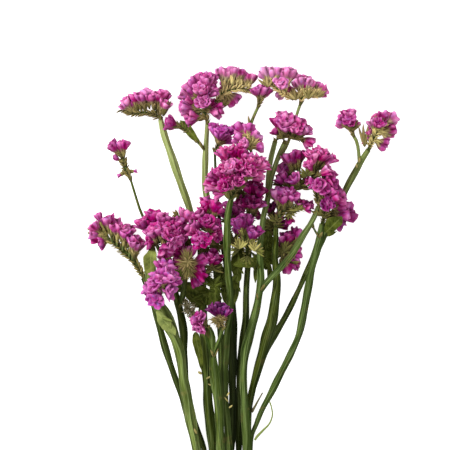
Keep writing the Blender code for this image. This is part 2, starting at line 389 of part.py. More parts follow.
def rod(path, flatness):
    """A rod of changing width along a path, wide side level, as a mesh in the guides."""
    curve = bpy.data.curves.new("path", "CURVE")
    curve.dimensions = "3D"
    curve.twist_mode = "Z_UP"
    curve.bevel_mode = "OBJECT"
    curve.bevel_object = section(flatness)
    curve.use_fill_caps = True
    spline = curve.splines.new("POLY")
    spline.points.add(len(path) - 1)
    for point, (u, v, height, width) in zip(spline.points, path):
        if height is ON_FLOOR:
            height = width * flatness
        point.co = (*at(u, v, height), 1)
        point.radius = width / 2000
    drawn = bpy.data.objects.new("path", curve)
    guides.objects.link(drawn)
    made = evaluated_copy(drawn, "rod")
    outline = curve.bevel_object
    bpy.data.objects.remove(drawn)
    bpy.data.objects.remove(outline)
    bpy.data.curves.remove(curve)
    guides.objects.link(made)
    return made


def lump(foot, tip, radius, turned):
    """A bud-shaped solid of revolution from its foot to its tip: narrow tube, then a wide dome."""
    axis = tip - foot
    length = axis.length + 0.25 * radius
    profile = [(0, 0), (radius, max(length - 0.75 * radius, 0.45 * length)),
               (0.58 * radius, length - 0.05 * radius), (0, length)]
    shape = bmesh.new()
    points = [shape.verts.new((x, 0, z)) for x, z in profile]
    edges = [shape.edges.new(pair) for pair in zip(points, points[1:])]
    bmesh.ops.spin(shape, geom=points + edges, cent=(0, 0, 0), axis=(0, 0, 1),
                   angle=2 * pi, steps=LUMP_SIDES, use_duplicate=False)
    bmesh.ops.remove_doubles(shape, verts=shape.verts, dist=1e-6)
    bmesh.ops.recalc_face_normals(shape, faces=shape.faces)
    turn = axis.to_track_quat("Z", "Y").to_matrix().to_4x4() @ Matrix.Rotation(turned, 4, "Z")
    bmesh.ops.transform(shape, matrix=Matrix.Translation(foot) @ turn, verts=shape.verts)
    mesh = bpy.data.meshes.new("lump")
    shape.to_mesh(mesh)
    shape.free()
    made = bpy.data.objects.new("lump", mesh)
    guides.objects.link(made)
    return made


def along(path, place):
    """The point of a path at a place counted in points."""
    i = min(int(place), len(path) - 2)
    first, second = at(*path[i][:3]), at(*path[i + 1][:3])
    return first.lerp(second, place - i)


def joined(name, pieces, colour):
    """The pieces as one solid, cut flat where it rests on the surface."""
    base = pieces[0]
    for other in pieces[1:]:
        other.hide_render = True
        other.display_type = "WIRE"
        union = base.modifiers.new("join", "BOOLEAN")
        union.operation = "UNION"
        union.solver = "EXACT"
        union.object = other
    made = evaluated_copy(base, name)
    for piece in pieces:
        bpy.data.objects.remove(piece)
    shape = bmesh.new()
    shape.from_mesh(made.data)
    if min(vert.co.z for vert in shape.verts) < 0:
        whole = list(shape.verts) + list(shape.edges) + list(shape.faces)
        cut = bmesh.ops.bisect_plane(shape, geom=whole, plane_co=(0, 0, 0), plane_no=(0, 0, 1),
                                     clear_inner=True, dist=1e-7)
        rim = [item for item in cut["geom_cut"] if isinstance(item, bmesh.types.BMEdge)]
        bmesh.ops.holes_fill(shape, edges=rim, sides=0)
        bmesh.ops.recalc_face_normals(shape, faces=shape.faces)
    bmesh.ops.triangulate(shape, faces=shape.faces)
    shape.to_mesh(made.data)
    shape.free()
    made.data.materials.clear()
    made.data.materials.append(finish(name, colour))
    parts.objects.link(made)
    return made


for old in list(bpy.data.objects):
    bpy.data.objects.remove(old)
parts = bpy.data.collections.new("dried_statice")
guides = bpy.data.collections.new("guides")
guides.hide_render = True
bpy.context.scene.collection.children.link(parts)
bpy.context.scene.collection.children.link(guides)

for name, paths in STEMS.items():
    joined(name, [rod(path, WING) for path in paths], STEM_GREEN)

for name, (axis, lumps, colour) in HEADS.items():
    pieces = [rod(axis, 0.42)]
    for i, (place, u, v, height, radius) in enumerate(lumps):
        foot = along(axis, min(place + 0.02 * i, len(axis) - 1.12))
        pieces.append(lump(foot, at(u, v, height), radius / 1000, 0.37 * i))
    joined(name, pieces, colour)

for name, (path, flatness, colour) in LEAVES.items():
    joined(name, [rod(path, flatness)], colour)
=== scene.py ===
"""Looks for the dried statice bunch, round its CAD frame. Metres, +Z up, floor at z = 0."""

from math import cos, pi, sin

import bpy
import numpy as np
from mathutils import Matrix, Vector


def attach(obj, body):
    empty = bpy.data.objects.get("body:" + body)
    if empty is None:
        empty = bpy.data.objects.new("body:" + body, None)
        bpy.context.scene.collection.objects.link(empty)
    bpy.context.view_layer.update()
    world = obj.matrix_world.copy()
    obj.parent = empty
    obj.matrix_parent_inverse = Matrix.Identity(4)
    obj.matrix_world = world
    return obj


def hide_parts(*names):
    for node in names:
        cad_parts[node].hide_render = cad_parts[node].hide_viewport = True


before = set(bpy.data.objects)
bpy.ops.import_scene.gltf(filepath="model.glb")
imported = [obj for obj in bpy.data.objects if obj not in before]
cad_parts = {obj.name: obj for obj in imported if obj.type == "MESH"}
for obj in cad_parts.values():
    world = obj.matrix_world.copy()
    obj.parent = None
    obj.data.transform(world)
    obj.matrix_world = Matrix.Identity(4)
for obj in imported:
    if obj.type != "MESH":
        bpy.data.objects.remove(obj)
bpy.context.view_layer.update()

# The plan grid that the bunch is laid out on, as in the CAD
UNIT_MM = 0.85          # one plan unit at MID_HEIGHT
MID_HEIGHT = 40.0       # mm
EYE_HEIGHT = 1500.0     # mm, height the plan is drawn from, and the camera's
CENTRE = 225.0          # middle of the plan grid
SHIFT = (-14.7, 98.5)  # mm, from the middle of the grid to the object's origin
WING = 0.30             # half thickness of a stem over its full width
ON_FLOOR = None         # a height that means: resting on the surface

# Stems: paths of (u, v, height, width in mm), from the flower end to the cut end.
# The first path is the stem, the others are its side branches.
STEMS = {
    "stem_left_outer": [
        [(143.8, 277.5, 18.7, 5.2), (147, 285, 19, 5.5), (152, 300, 19.5, 5.5), (157, 317, 19.5, 6),
         (161, 332, 18, 6), (167, 354, 14.5, 6), (175.4, 379, 9.5, 5.5), (184, 403, 5.5, 5.5),
         (191, 430, 2.6, 5.5), (195.8, 455, ON_FLOOR, 5.5), (199, 500, ON_FLOOR, 5.5),
         (199, 598, ON_FLOOR, 5.5)],
    ],
    "stem_left_winged": [
        [(153, 247, 30, 4), (150.6, 260, 32, 11.5), (150.8, 271, 32.6, 10.5), (151.5, 286, 33, 7),
         (155, 300, 34, 9), (160, 309, 34, 12), (165.5, 319, 33, 12.5), (171, 329, 32, 11),
         (175.5, 339, 30.4, 8.5), (180.4, 354, 27, 8.5), (183.4, 379, 22, 9),
         (188, 405, 17, 9.5), (192.8, 430, 12.5, 9), (197.6, 455, 9, 8), (201.5, 500, 6.1, 7),
         (202, 592, 6.1, 7)],
        [(156, 307, 34.6, 4.4), (157.6, 303.6, 37.2, 3.6)],
    ],
    "stem_left_thin": [
        [(130.5, 179, 26, 2), (135, 194, 25, 2.2), (140.5, 211, 23, 2.4), (150, 232, 21, 3),
         (162, 256, 20, 3.5), (171, 280, 20.5, 4), (178, 303, 21, 7.5), (182, 320, 20.5, 7.5),
         (184, 335, 19.5, 6.5), (184.4, 352, 17.5, 5), (186, 379, 13.5, 5), (190.2, 405, 9.8, 5),
         (197.3, 430, 6.5, 5), (205, 455, 4, 5), (208, 500, ON_FLOOR, 5.5),
         (209, 604, ON_FLOOR, 5.5)],
        [(179, 309, 21, 4.4), (182.6, 296, 26, 5), (185, 284, 33, 4.6), (186.3, 277.5, 37, 3.4)],
    ],
    "stem_left_tall": [
        [(160.6, 119, 24, 4.4), (164.4, 135, 25, 6.4), (170.8, 155, 26, 6.8), (179, 178, 26.5, 6.6),
         (187, 200, 26, 6.2), (193, 220, 24.5, 6), (199, 240, 23, 6), (202, 265, 22.5, 6),
         (203.5, 290, 22.5, 6), (203.5, 315, 22.5, 6.5), (204.6, 335, 22, 8), (206, 354, 20.5, 9),
         (207, 379, 17.5, 9), (209, 411, 13.5, 9), (211.8, 435, 11, 8.5), (213.2, 460, 8.8, 8),
         (212.5, 500, 6.1, 7), (212.5, 600, 6.1, 7)],
        [(200.5, 252, 22.8, 3), (203.5, 250, 27, 3), (205.6, 248, 30, 3)],
        [(203.3, 287, 22.6, 3), (205.6, 281, 25, 2.8), (207.6, 277.6, 27, 2.6)],
    ],
    "stem_front_forked": [
        [(223, 328.5, 43, 3), (219, 340, 39.5, 3.2), (213.8, 354, 34, 5.4), (214, 367, 32, 8.6),
         (215.5, 380, 30, 8.4), (217.2, 393, 28, 8), (219.2, 417, 23.5, 8.2), (220.4, 435, 19.5, 8.2),
         (221.4, 458, 15, 7.4), (222.5, 500, 7.5, 6.5), (223, 590, 6.1, 6.5)],
        [(213.4, 357, 33.6, 4.5), (211.2, 345, 37, 7.4), (210.4, 335, 39.5, 9),
         (208.6, 327.5, 41, 5.4)],
    ],
    "stem_front_long": [
        [(231.5, 197.5, 60, 4.5), (229, 210, 60, 5.5), (227.5, 225, 59, 6), (227, 249, 56, 6),
         (228, 272, 50, 6), (230.5, 295, 43, 6), (230, 312, 37.5, 6), (228, 326, 34.5, 6),
         (226, 341, 31, 6), (225, 360, 27.5, 6.5), (224.5, 379, 24.5, 7), (225.5, 405, 20.5, 6.5),
         (227.5, 430, 16.5, 6.5), (229.5, 458, 12.5, 6.5), (232, 500, 6.1, 6.5), (233, 602, 6.1, 6.5)],
    ],
    "stem_middle_dark": [
        [(214.8, 151, 36, 2.2), (215.5, 170, 34, 2.4), (217, 190, 31, 2.8), (219, 215, 27, 3.2),
         (221.5, 240, 23.5, 3.8), (226.4, 265, 21, 5.5), (231, 295, 19.5, 8.6), (232.8, 328, 18, 7.6),
         (232.6, 354, 17, 7), (232.6, 379, 14.4, 7.2), (232.4, 405, 11.2, 7.2), (231.6, 430, 8.4, 7),
         (230.4, 455, 5.6, 6.4), (227.5, 500, ON_FLOOR, 5.5), (227.5, 596, ON_FLOOR, 5.5)],
    ],
    "stem_middle_tall": [
        [(207.3, 123, 30, 3.5), (206.2, 140, 30, 4.4), (205.3, 160, 30, 5.4), (205.4, 180, 29, 5.8),
         (207, 200, 28, 5.6), (209.5, 225, 25, 4.5), (213, 250, 22, 4.5), (216.5, 280, 19.5, 5),
         (219, 310, 17.5, 5), (220.5, 335, 16, 5), (221, 360, 13.8, 5), (220.5, 385, 11, 5),
         (219.5, 410, 8.2, 5), (218.5, 435, 5.6, 5), (218, 460, 3.4, 5.5), (218, 500, ON_FLOOR, 5.5),
         (218, 608, ON_FLOOR, 5.5)],
        [(205.2, 150.5, 30, 3), (196.8, 140, 30.5, 3), (190.8, 133.2, 31.5, 3.4)],
    ],
    "stem_centre_branched": [
        [(284.4, 142.5, 33, 3.5), (278, 157, 33, 4), (271.6, 177, 33, 4.8), (268, 198, 34, 5),
         (263, 220, 35, 5), (260, 245, 36, 5), (260, 262, 36, 5.5), (261, 283, 35, 6.5),
         (258.5, 298, 33, 7), (254.5, 316, 31, 7.5), (249.4, 335, 28, 8), (245, 354, 25.5, 7),
         (243.4, 379, 22.5, 6.6), (244.8, 405, 19, 7.6), (246.5, 430, 15.8, 8), (247, 458, 12.5, 8),
         (244, 500, 6.6, 7), (243, 606, 6.1, 7)],
        [(267.8, 197, 34, 3.8), (267.5, 182, 33.5, 3.8), (270.4, 162, 33.5, 4.4),
         (275.2, 141, 34.2, 4.2)],
        [(261, 290, 34.6, 5), (267.4, 281.6, 36.5, 5.4), (274.6, 274.4, 38, 5.4), (284, 263.5, 39, 5.5),
         (292, 254, 39.5, 6), (298, 244, 39.5, 6), (303, 235, 39.5, 5.5), (310, 225, 39.5, 5),
         (316, 214, 39.5, 4.5), (318.6, 206.5, 39.5, 4)],
        [(278, 160, 32.6, 3), (286, 147, 27, 2.8), (292.5, 130, 23, 2.6), (297.3, 113, 23, 2.6),
         (300.6, 103.5, 24.5, 2.6)],
    ],
    "stem_centre_thin": [
        [(258.3, 106.5, 28, 2.6), (254, 116, 28, 2.6), (250, 127, 27.5, 3), (247, 145, 25, 3),
         (246, 170, 21, 3), (247.5, 200, 17, 3.6), (249, 230, 15, 4), (249, 255, 15, 4.5),
         (248, 270, 16, 5), (246.5, 285, 17, 5.5), (246, 305, 17, 6), (245, 323, 16.5, 6),
         (243, 340, 15.5, 6), (240.6, 360, 14, 6), (239.4, 385, 11.2, 6.4), (239.4, 410, 8.5, 6.4),
         (239.2, 435, 5.8, 6.4), (238.5, 460, 3.4, 5.5), (237, 500, ON_FLOOR, 5.5),
         (237, 600, ON_FLOOR, 5.5)],
        [(249.2, 238, 15, 3.4), (250.5, 229, 22, 3.2), (251.5, 223, 28, 2.8)],
        [(248.2, 266, 16, 3.4), (247, 259.5, 22, 3.4), (246.5, 255.5, 29, 3)],
    ],
    "stem_right_broad": [
        [(276, 227, 31, 4), (275.5, 240, 30.5, 5), (275, 256, 30, 5.5), (277, 275, 29, 6.5),
         (275.8, 295, 28, 8), (271.8, 318, 26, 9.6), (267.2, 337, 24, 9.8), (262.4, 354, 21.5, 8.2),
         (257.5, 370, 19.2, 7), (253, 385, 16.2, 6.4), (250, 400, 13.6, 5.8), (248.3, 415, 10.8, 5.5),
         (247.8, 435, 7.4, 5.5), (247, 460, 5.3, 5.5), (246.3, 500, ON_FLOOR, 5.5),
         (246.3, 594, ON_FLOOR, 5.5)],
    ],
    "stem_far_right": [
        [(368.5, 149.5, 22.5, 4.5), (360.6, 162, 21, 5), (356.8, 169, 20, 5.5), (346.8, 188, 16, 6),
         (334.8, 211, 12, 6.4), (323, 235, 12, 7), (314.2, 256, 12.5, 6.5), (306.3, 273, 13.5, 5.5),
         (299, 289, 14, 5), (287.4, 313, 14, 5), (275.8, 333, 13, 5.5), (267.4, 348, 11.6, 6),
         (260.5, 365, 9.8, 6), (256, 380, 8, 5.5), (251, 395, 6.6, 5.5), (248, 410, 5.4, 5.5),
         (247.4, 435, 3.4, 5.5), (250.8, 460, ON_FLOOR, 5.5), (253.4, 500, ON_FLOOR, 5.5),
         (253.4, 602, ON_FLOOR, 5.5)],
        [(359.5, 163.5, 21.2, 3.2), (358.6, 152, 22, 3), (356.8, 142, 22.8, 3), (353.4, 135.5, 23.5, 3)],
    ],
    "stem_right": [
        [(322.5, 223.5, 36, 4.5), (320.5, 236, 35, 7), (316.5, 252, 34, 7), (312, 268, 33, 6.5),
         (309, 283, 32, 6.5), (304, 311, 30, 6.5), (299.2, 334, 27.5, 6.5), (291.6, 352, 25, 6.5),
         (284.6, 366, 22.5, 6), (271.4, 392, 17.5, 5.5), (262.4, 409, 14.8, 5), (256.2, 424, 12.6, 4.6),
         (251.8, 436, 10.8, 4.2), (250.6, 456, 8.6, 4), (255.5, 500, 5.8, 5.5), (255, 590, 5.8, 5.5)],
        [(320, 238, 34.8, 2.4), (316, 232.5, 35.6, 1.9), (312.6, 226, 36.2, 1.5)],
    ],
}

# Flower heads: the axis as points of (u, v, height, width in mm), then the spikelets as
# (place along the axis in points, u, v, height of the tip, radius in mm)
HEADS = {
    "head_top_left": (
        [(160.3, 117.2, 24, 3), (153, 114.5, 24, 3), (144, 113, 23, 3.2), (134, 113.5, 21, 3),
         (123, 110, 20, 2.6)],
        [(0.2, 164.6, 91, 27, 6.2), (0.8, 153, 92, 29, 5.8), (1.8, 143, 92, 26, 6.2),
         (2.6, 135, 95, 23, 5.2), (3.1, 123.5, 101, 22, 5), (0.5, 160, 94, 9, 6.2),
         (1.8, 146, 95, 2, 6.2), (3.0, 130, 100, 2.5, 5), (0.05, 166, 101, 33, 4.8)]),
    "head_left_small": (
        [(130, 177.6, 26, 2.4), (126, 170, 26, 6), (123.5, 160, 26, 5), (121.5, 153, 26, 5)],
        [(2.2, 111, 143, 26, 4.8), (2.4, 125, 141, 27, 4.8), (2.3, 119, 146, 15, 4.5),
         (0.7, 136.5, 171, 27, 2.4), (0.8, 118, 176, 26, 2.6), (1.6, 113, 156, 27, 3.2)]),
    "head_top_round": (
        [(207.3, 121.2, 30, 3.4), (205, 112, 30, 3.6), (204, 103, 31, 3.6), (206, 94, 32, 3),
         (208, 86, 32, 2.4)],
        [(0.4, 187, 117.6, 31, 7.2), (1.0, 182, 105, 33, 6.8), (1.8, 183.4, 93, 28, 6),
         (2.3, 189.4, 81.4, 30, 6), (2.8, 199.6, 74.4, 29, 5.5), (2.3, 201, 87, 45, 6),
         (2.8, 207, 76, 41, 6), (1.6, 203, 101, 45, 5.6), (2.2, 214, 88, 39, 5),
         (3.0, 213, 73, 30, 5), (1.0, 221, 111, 34, 6), (1.6, 195, 96, 3, 7),
         (2.2, 211, 84, 3, 6.5), (0.8, 188, 109, 3, 6.6), (1.2, 213, 104, 12, 6)]),
    "head_top_turned": (
        [(216.5, 100, 30, 2.4), (223, 93, 30, 3.2), (233, 89.5, 29, 3.4), (242, 89, 28, 3),
         (250, 91, 27, 2.6)],
        [(1.0, 224, 72, 23, 5.6), (2.0, 231, 68, 23, 5.6), (2.8, 241, 71, 21, 5),
         (3.7, 250, 76, 18, 4.6), (1.2, 232.4, 99.4, 20, 6), (2.4, 234, 79, 2.5, 6.5),
         (0.9, 226, 88, 3, 6.5), (0.5, 224, 103, 18, 4)]),
    "head_left_bud": (
        [(189.7, 132.1, 31.6, 3.4), (184, 128, 32, 5), (179, 125.8, 32, 5)],
        [(1.6, 166, 122, 33, 5.6), (1.6, 169, 124, 23, 5)]),
    "head_upper_funnel": (
        [(215.6, 149.4, 36, 2.4), (218, 146.5, 37, 4.2), (220, 143, 38, 4)],
        [(1.1, 216, 126, 40.5, 5.4), (1.25, 227.6, 127, 40, 6), (1.4, 221.6, 130.4, 46, 5.8),
         (0.9, 221.4, 129.6, 29, 5.6), (1.5, 229, 137, 35, 4.4)]),
    "head_front_top": (
        [(251, 151, 60, 3), (249, 144, 59, 5), (247, 138, 58, 4.6)],
        [(1.4, 241, 125.4, 52, 5.4), (1.6, 250, 127, 53, 5.2), (1.4, 257.4, 135, 55, 4.8),
         (0.4, 262.6, 146, 59, 4.8), (1.0, 235, 136.6, 57, 4.6), (0.6, 243, 141, 67, 3.6)]),
    "head_front": (
        [(232, 196, 62, 4), (234, 190, 64, 5), (238, 183, 65, 5), (243, 177, 65, 4.6)],
        [(1.4, 224, 150.4, 66, 7.2), (2.2, 237, 147, 65, 7.4), (2.8, 251, 157, 70, 7),
         (2.8, 264, 161, 64, 7.2), (2.6, 262, 174, 60, 6), (1.6, 231, 165, 80, 7.6),
         (2.4, 246, 167, 80, 7.6), (1.2, 221, 167, 74, 6.6), (0.8, 225, 182, 76, 6.8),
         (1.4, 238, 179, 80, 6.2), (0.9, 212, 173.4, 62, 6.4), (0.6, 207.4, 186.4, 61, 5.2),
         (2.0, 232, 158, 50, 7.2), (2.7, 253, 166, 48, 7.2), (1.2, 219, 172, 50, 6.8),
         (0.7, 215, 193, 56, 5)]),
    "head_behind_front": (
        [(252, 221.5, 30, 3), (253, 214, 35, 4), (254, 207, 38, 4)],
        [(1.4, 250, 184, 43, 6.6), (1.5, 259, 187, 41, 6.4), (1.3, 262, 201, 39.5, 5),
         (1.1, 240, 200, 42, 5), (1.2, 251, 200, 48, 6.6), (1.3, 254, 188, 26, 6.4),
         (0.9, 257, 213, 28, 4)]),
    "head_middle_dark": (
        [(228.6, 240, 25, 3), (229.4, 228, 26, 3.6), (231, 216, 28, 4)],
        [(1.5, 232, 203, 31, 6), (1.2, 225.5, 212, 33, 4.4), (1.6, 241, 207, 31, 5)]),
    "head_centre_green": (
        [(246.8, 254.2, 31, 3), (247, 250, 36, 4.4), (248, 247, 40, 4.4)],
        [(1.0, 238, 219, 44, 6.4), (1.4, 255, 229, 46, 6.4), (1.4, 247, 216, 39, 5.2),
         (1.2, 240, 228, 29, 5.4)]),
    "head_centre_left": (
        [(206, 246, 32, 3.4), (208, 240, 37, 4.2), (209, 232, 41, 4.2), (210, 224, 43, 3.6)],
        [(3.0, 206, 198, 44, 5.6), (2.8, 219, 203, 45, 6.2), (2.2, 198, 212, 46, 6.6),
         (2.0, 206, 220, 57, 6), (1.8, 215, 222, 54, 5.4), (1.6, 218, 235, 49, 5),
         (0.8, 195, 238, 51, 6.6), (1.0, 204, 239, 58, 5.6), (1.2, 190, 227, 45, 6),
         (2.0, 205, 214, 34, 5)]),
    "head_left_spike": (
        [(143.2, 275.8, 18.6, 4.8), (134.4, 261, 18, 7.4), (124.6, 251, 17, 6.4), (115, 243.4, 16, 5),
         (105, 238, 15, 3.4)],
        [(3.6, 97, 213.4, 20, 3.6), (3.2, 107.4, 217.6, 22, 5.2), (2.7, 118, 224.4, 22, 5),
         (2.1, 126, 228.6, 25, 6), (1.4, 136, 236.4, 26, 6), (3.7, 91, 225.6, 20, 4.4),
         (3.5, 91, 237, 19, 4.4), (3.4, 99, 244, 18, 4), (1.0, 136, 241, 29, 4.6),
         (1.8, 128, 228, 2, 6.4), (2.8, 113, 221, 2, 6.2), (3.3, 97, 224, 4, 5),
         (0.8, 139, 243, 3, 5)]),
    "head_left_mass": (
        [(154, 244.6, 31.5, 3.6), (157, 242, 35, 5), (163, 240, 38, 5), (170, 238, 39, 5),
         (178, 232, 38, 4)],
        [(0.2, 141.4, 219.6, 33, 6.4), (0.9, 156, 212, 38, 6.2), (1.6, 164, 215, 43, 5.6),
         (3.0, 176, 220, 40, 6.6), (0.9, 152, 229, 48, 6.4), (1.7, 161, 226, 53, 6),
         (2.4, 169, 232, 54, 6.2), (3.2, 181, 233, 47, 6), (4.0, 189, 212, 38, 5.8),
         (2.9, 177, 244, 53, 6.2), (1.8, 167.4, 252.4, 53, 6.2), (0.4, 148, 242, 38, 5.8),
         (2.2, 168, 224, 2.5, 6.6), (3.2, 180, 222, 15, 5.8),
         (2.6, 174, 236, 2.5, 6.2)]),
    "head_left_low": (
        [(158.2, 301.6, 39.4, 3.4), (160, 294, 44, 4.4), (163, 287, 46, 4.6), (165, 280, 46, 4)],
        [(3.0, 166, 263, 48, 6), (2.4, 157, 272, 55, 6), (2.4, 173, 275, 57, 6.6),
         (1.6, 171, 290, 56, 6.2), (1.4, 154, 283, 57, 6), (0.8, 154, 297, 52, 5.6),
         (0.9, 144, 288, 45, 5), (2.0, 165, 277, 62, 5.4)]),
    "head_turned_away": (
        [(186.9, 275, 40, 3), (188, 267, 45, 5.4), (188.5, 262, 47, 5.4)],
        [(1.6, 178, 249, 37, 5.6), (1.7, 191, 247, 41, 5.6), (1.4, 202, 262, 38, 6),
         (1.0, 200, 275, 37, 6), (0.8, 196, 283, 36, 5), (1.2, 175, 262, 37, 5.6)]),
    "head_dark_small": (
        [(208, 276, 28, 2.6), (210.5, 270, 34, 3.4), (212.5, 266, 37, 3)],
        [(1.4, 211, 254, 42, 5.2), (1.6, 217, 257, 40, 4.8)]),
    "head_right_low": (
        [(280, 264, 27, 3), (284, 258, 25, 4.6), (287, 252, 23, 4.6), (288, 244, 22, 3.6)],
        [(2.2, 299, 230, 22, 6.6), (2.4, 285, 234, 24, 6), (1.4, 297, 254, 19, 6.2),
         (0.7, 297, 266, 17, 3.8), (1.8, 293, 246, 2.5, 7), (1.2, 281, 246, 10, 6.4), (0.5, 288, 269.4, 20, 5.2)]),
    "head_right_dark": (
        [(272, 233, 18, 3), (272, 223, 21, 4), (271, 215, 24, 4)],
        [(1.5, 269, 204, 26, 5), (0.9, 279, 214, 20, 5), (0.5, 284, 223, 14, 5)]),
    "head_right_pale": (
        [(276.4, 225, 33, 3), (279, 217, 36, 4), (284, 210, 38, 4), (291, 204.5, 40, 3.4)],
        [(1.1, 277, 189, 44, 5.6), (2.0, 284, 192, 45, 5.4), (2.8, 292, 191, 47, 5.8),
         (1.8, 281, 200, 24, 5.6)]),
    "head_right_bud": (
        [(286, 216.5, 34, 2.2), (292.4, 212, 36, 5), (300, 207.6, 37, 5)],
        [(1.8, 300, 200, 38, 4.6), (2.0, 311.4, 206, 38, 4.8), (0.6, 290, 222, 29, 3.6)]),
    "head_right_upper": (
        [(318.3, 204.6, 39.6, 3), (317.4, 197, 38, 3.4), (315.4, 188, 37, 4), (314, 178, 39, 5),
         (314.4, 170, 41, 5)],
        [(3.6, 312, 152, 49, 6.4), (3.8, 323, 150, 47, 6.6), (3.6, 333, 156, 43, 5.4),
         (3.3, 308, 163, 48, 5), (3.4, 317, 155, 29, 6.8), (2.6, 306, 180, 42, 4.4),
         (3.0, 329, 169, 50, 4.8)]),
    "head_right_inner": (
        [(311, 188.6, 38.4, 2), (303.4, 186.8, 37.4, 2.6), (295.4, 187, 36, 3.6), (287, 188, 35, 3)],
        [(1.8, 288, 155.6, 34, 7.2), (1.5, 293, 176.5, 44, 5.8), (1.4, 298, 151.4, 32, 6.2),
         (2.6, 279, 174, 39, 5.2), (2.4, 284, 166, 22, 6)]),
    "head_right_large": (
        [(323, 221.5, 38, 3.6), (325, 212, 41, 4.4), (324, 202, 42, 4.6), (322, 192, 42, 4.6),
         (323, 183, 41, 4)],
        [(4.0, 330, 169, 36, 5.6), (3.8, 334, 180, 43, 6.2), (3.4, 315, 183, 53, 5),
         (2.9, 322, 187, 55, 6), (2.6, 339.6, 188, 36, 6.2), (2.0, 336, 195, 48, 6),
         (1.4, 330, 204, 51, 5.2), (1.6, 343.4, 201, 34, 6.2), (0.9, 347.4, 214.6, 33, 6.2),
         (0.5, 343, 222, 30, 5), (0.8, 352.4, 212.2, 3, 6.2), (1.6, 345, 197, 21, 5.6)]),
    "head_far_right_small": (
        [(352.8, 133.6, 24, 3), (351.5, 129, 25, 5.6), (350, 124, 26, 6)],
        [(1.4, 339, 119, 26, 5.8), (1.6, 348.6, 112, 27, 6.2), (1.6, 349, 119, 35, 5.4),
         (1.4, 343.4, 121, 5, 6.4), (1.1, 355, 121, 22, 4.6)]),
    "head_far_right": (
        [(369.6, 147.8, 24, 3.4), (373, 140, 26, 4.6), (376.5, 133, 27, 5.6), (379, 127, 27, 5.6)],
        [(1.6, 372.4, 119, 26, 5.6), (2.4, 385, 111.4, 28, 6.6), (2.6, 395, 117, 26, 6.2),
         (2.2, 393, 128, 24, 5.4), (1.0, 386.6, 145.4, 22, 5.2), (2.3, 382, 121, 36, 5.4),
         (0.7, 366, 130, 27, 3.6), (0.3, 364.4, 139.6, 25.4, 3.6),
         (2.0, 380, 118, 3, 7), (1.6, 390, 132, 3, 6.4)]),
    "head_upper_right": (
        [(279, 138.2, 38, 2.6), (284, 135.6, 39, 5), (291, 135, 39, 5), (299, 137.6, 38, 4)],
        [(0.5, 277.4, 118, 41, 6), (1.0, 286, 113, 43, 6.6), (1.8, 298, 117, 43, 6.8),
         (2.8, 308, 127, 42, 6.4), (1.0, 284, 122, 53, 6), (2.0, 296, 126, 52, 5.6),
         (2.9, 312, 144, 37, 4.8), (0.1, 275, 129, 37, 4.6)]),
    "head_top_pale": (
        [(291, 98.6, 27, 2.4), (285, 95, 28, 4), (279, 90, 29, 4), (272, 85, 29, 4)],
        [(2.9, 264, 71, 22, 5.6), (2.6, 276, 69, 21, 6), (1.6, 280, 82, 37, 5.4),
         (1.0, 290, 71, 24, 6.4), (1.6, 282, 77, 3, 6.8), (1.0, 279.6, 93, 23, 4.8)]),
    "head_top_right": (
        [(301.3, 101.8, 26, 2.6), (302, 97.5, 27, 4.6), (307, 95.8, 27, 5.2), (314, 94.4, 26, 4.6)],
        [(0.9, 299, 80, 26, 5.2), (1.8, 311, 80, 26, 5.2), (2.9, 325.4, 89.4, 24, 6.2),
         (1.6, 304, 82, 3.5, 6.6), (2.4, 315, 87, 3, 6), (0.6, 290, 91, 13, 5)]),
    "head_top_small": (
        [(258.9, 105, 28.5, 2.6), (260, 101, 29, 3.6)],
        [(0.8, 265, 88, 31, 5.6), (0.8, 263, 90, 21, 5), (0.8, 258, 87, 33, 4.4)]),
    "head_low_purple": (
        [(222.6, 326.9, 44.5, 3), (221.5, 323, 47, 5), (220.5, 320, 49, 5)],
        [(1.5, 212, 307, 51, 5), (1.6, 220, 304, 52, 5), (1.5, 228, 309, 52, 4.6)]),
    "head_low_pink": (
        [(206, 324.9, 42, 3), (204.5, 322, 43, 4)],
        [(0.8, 198.4, 316.4, 47, 5.2), (0.9, 193.6, 324, 45, 5.4), (0.8, 198, 321, 36, 4.8),
         (0.7, 199.4, 328.6, 47, 4.4)]),
}

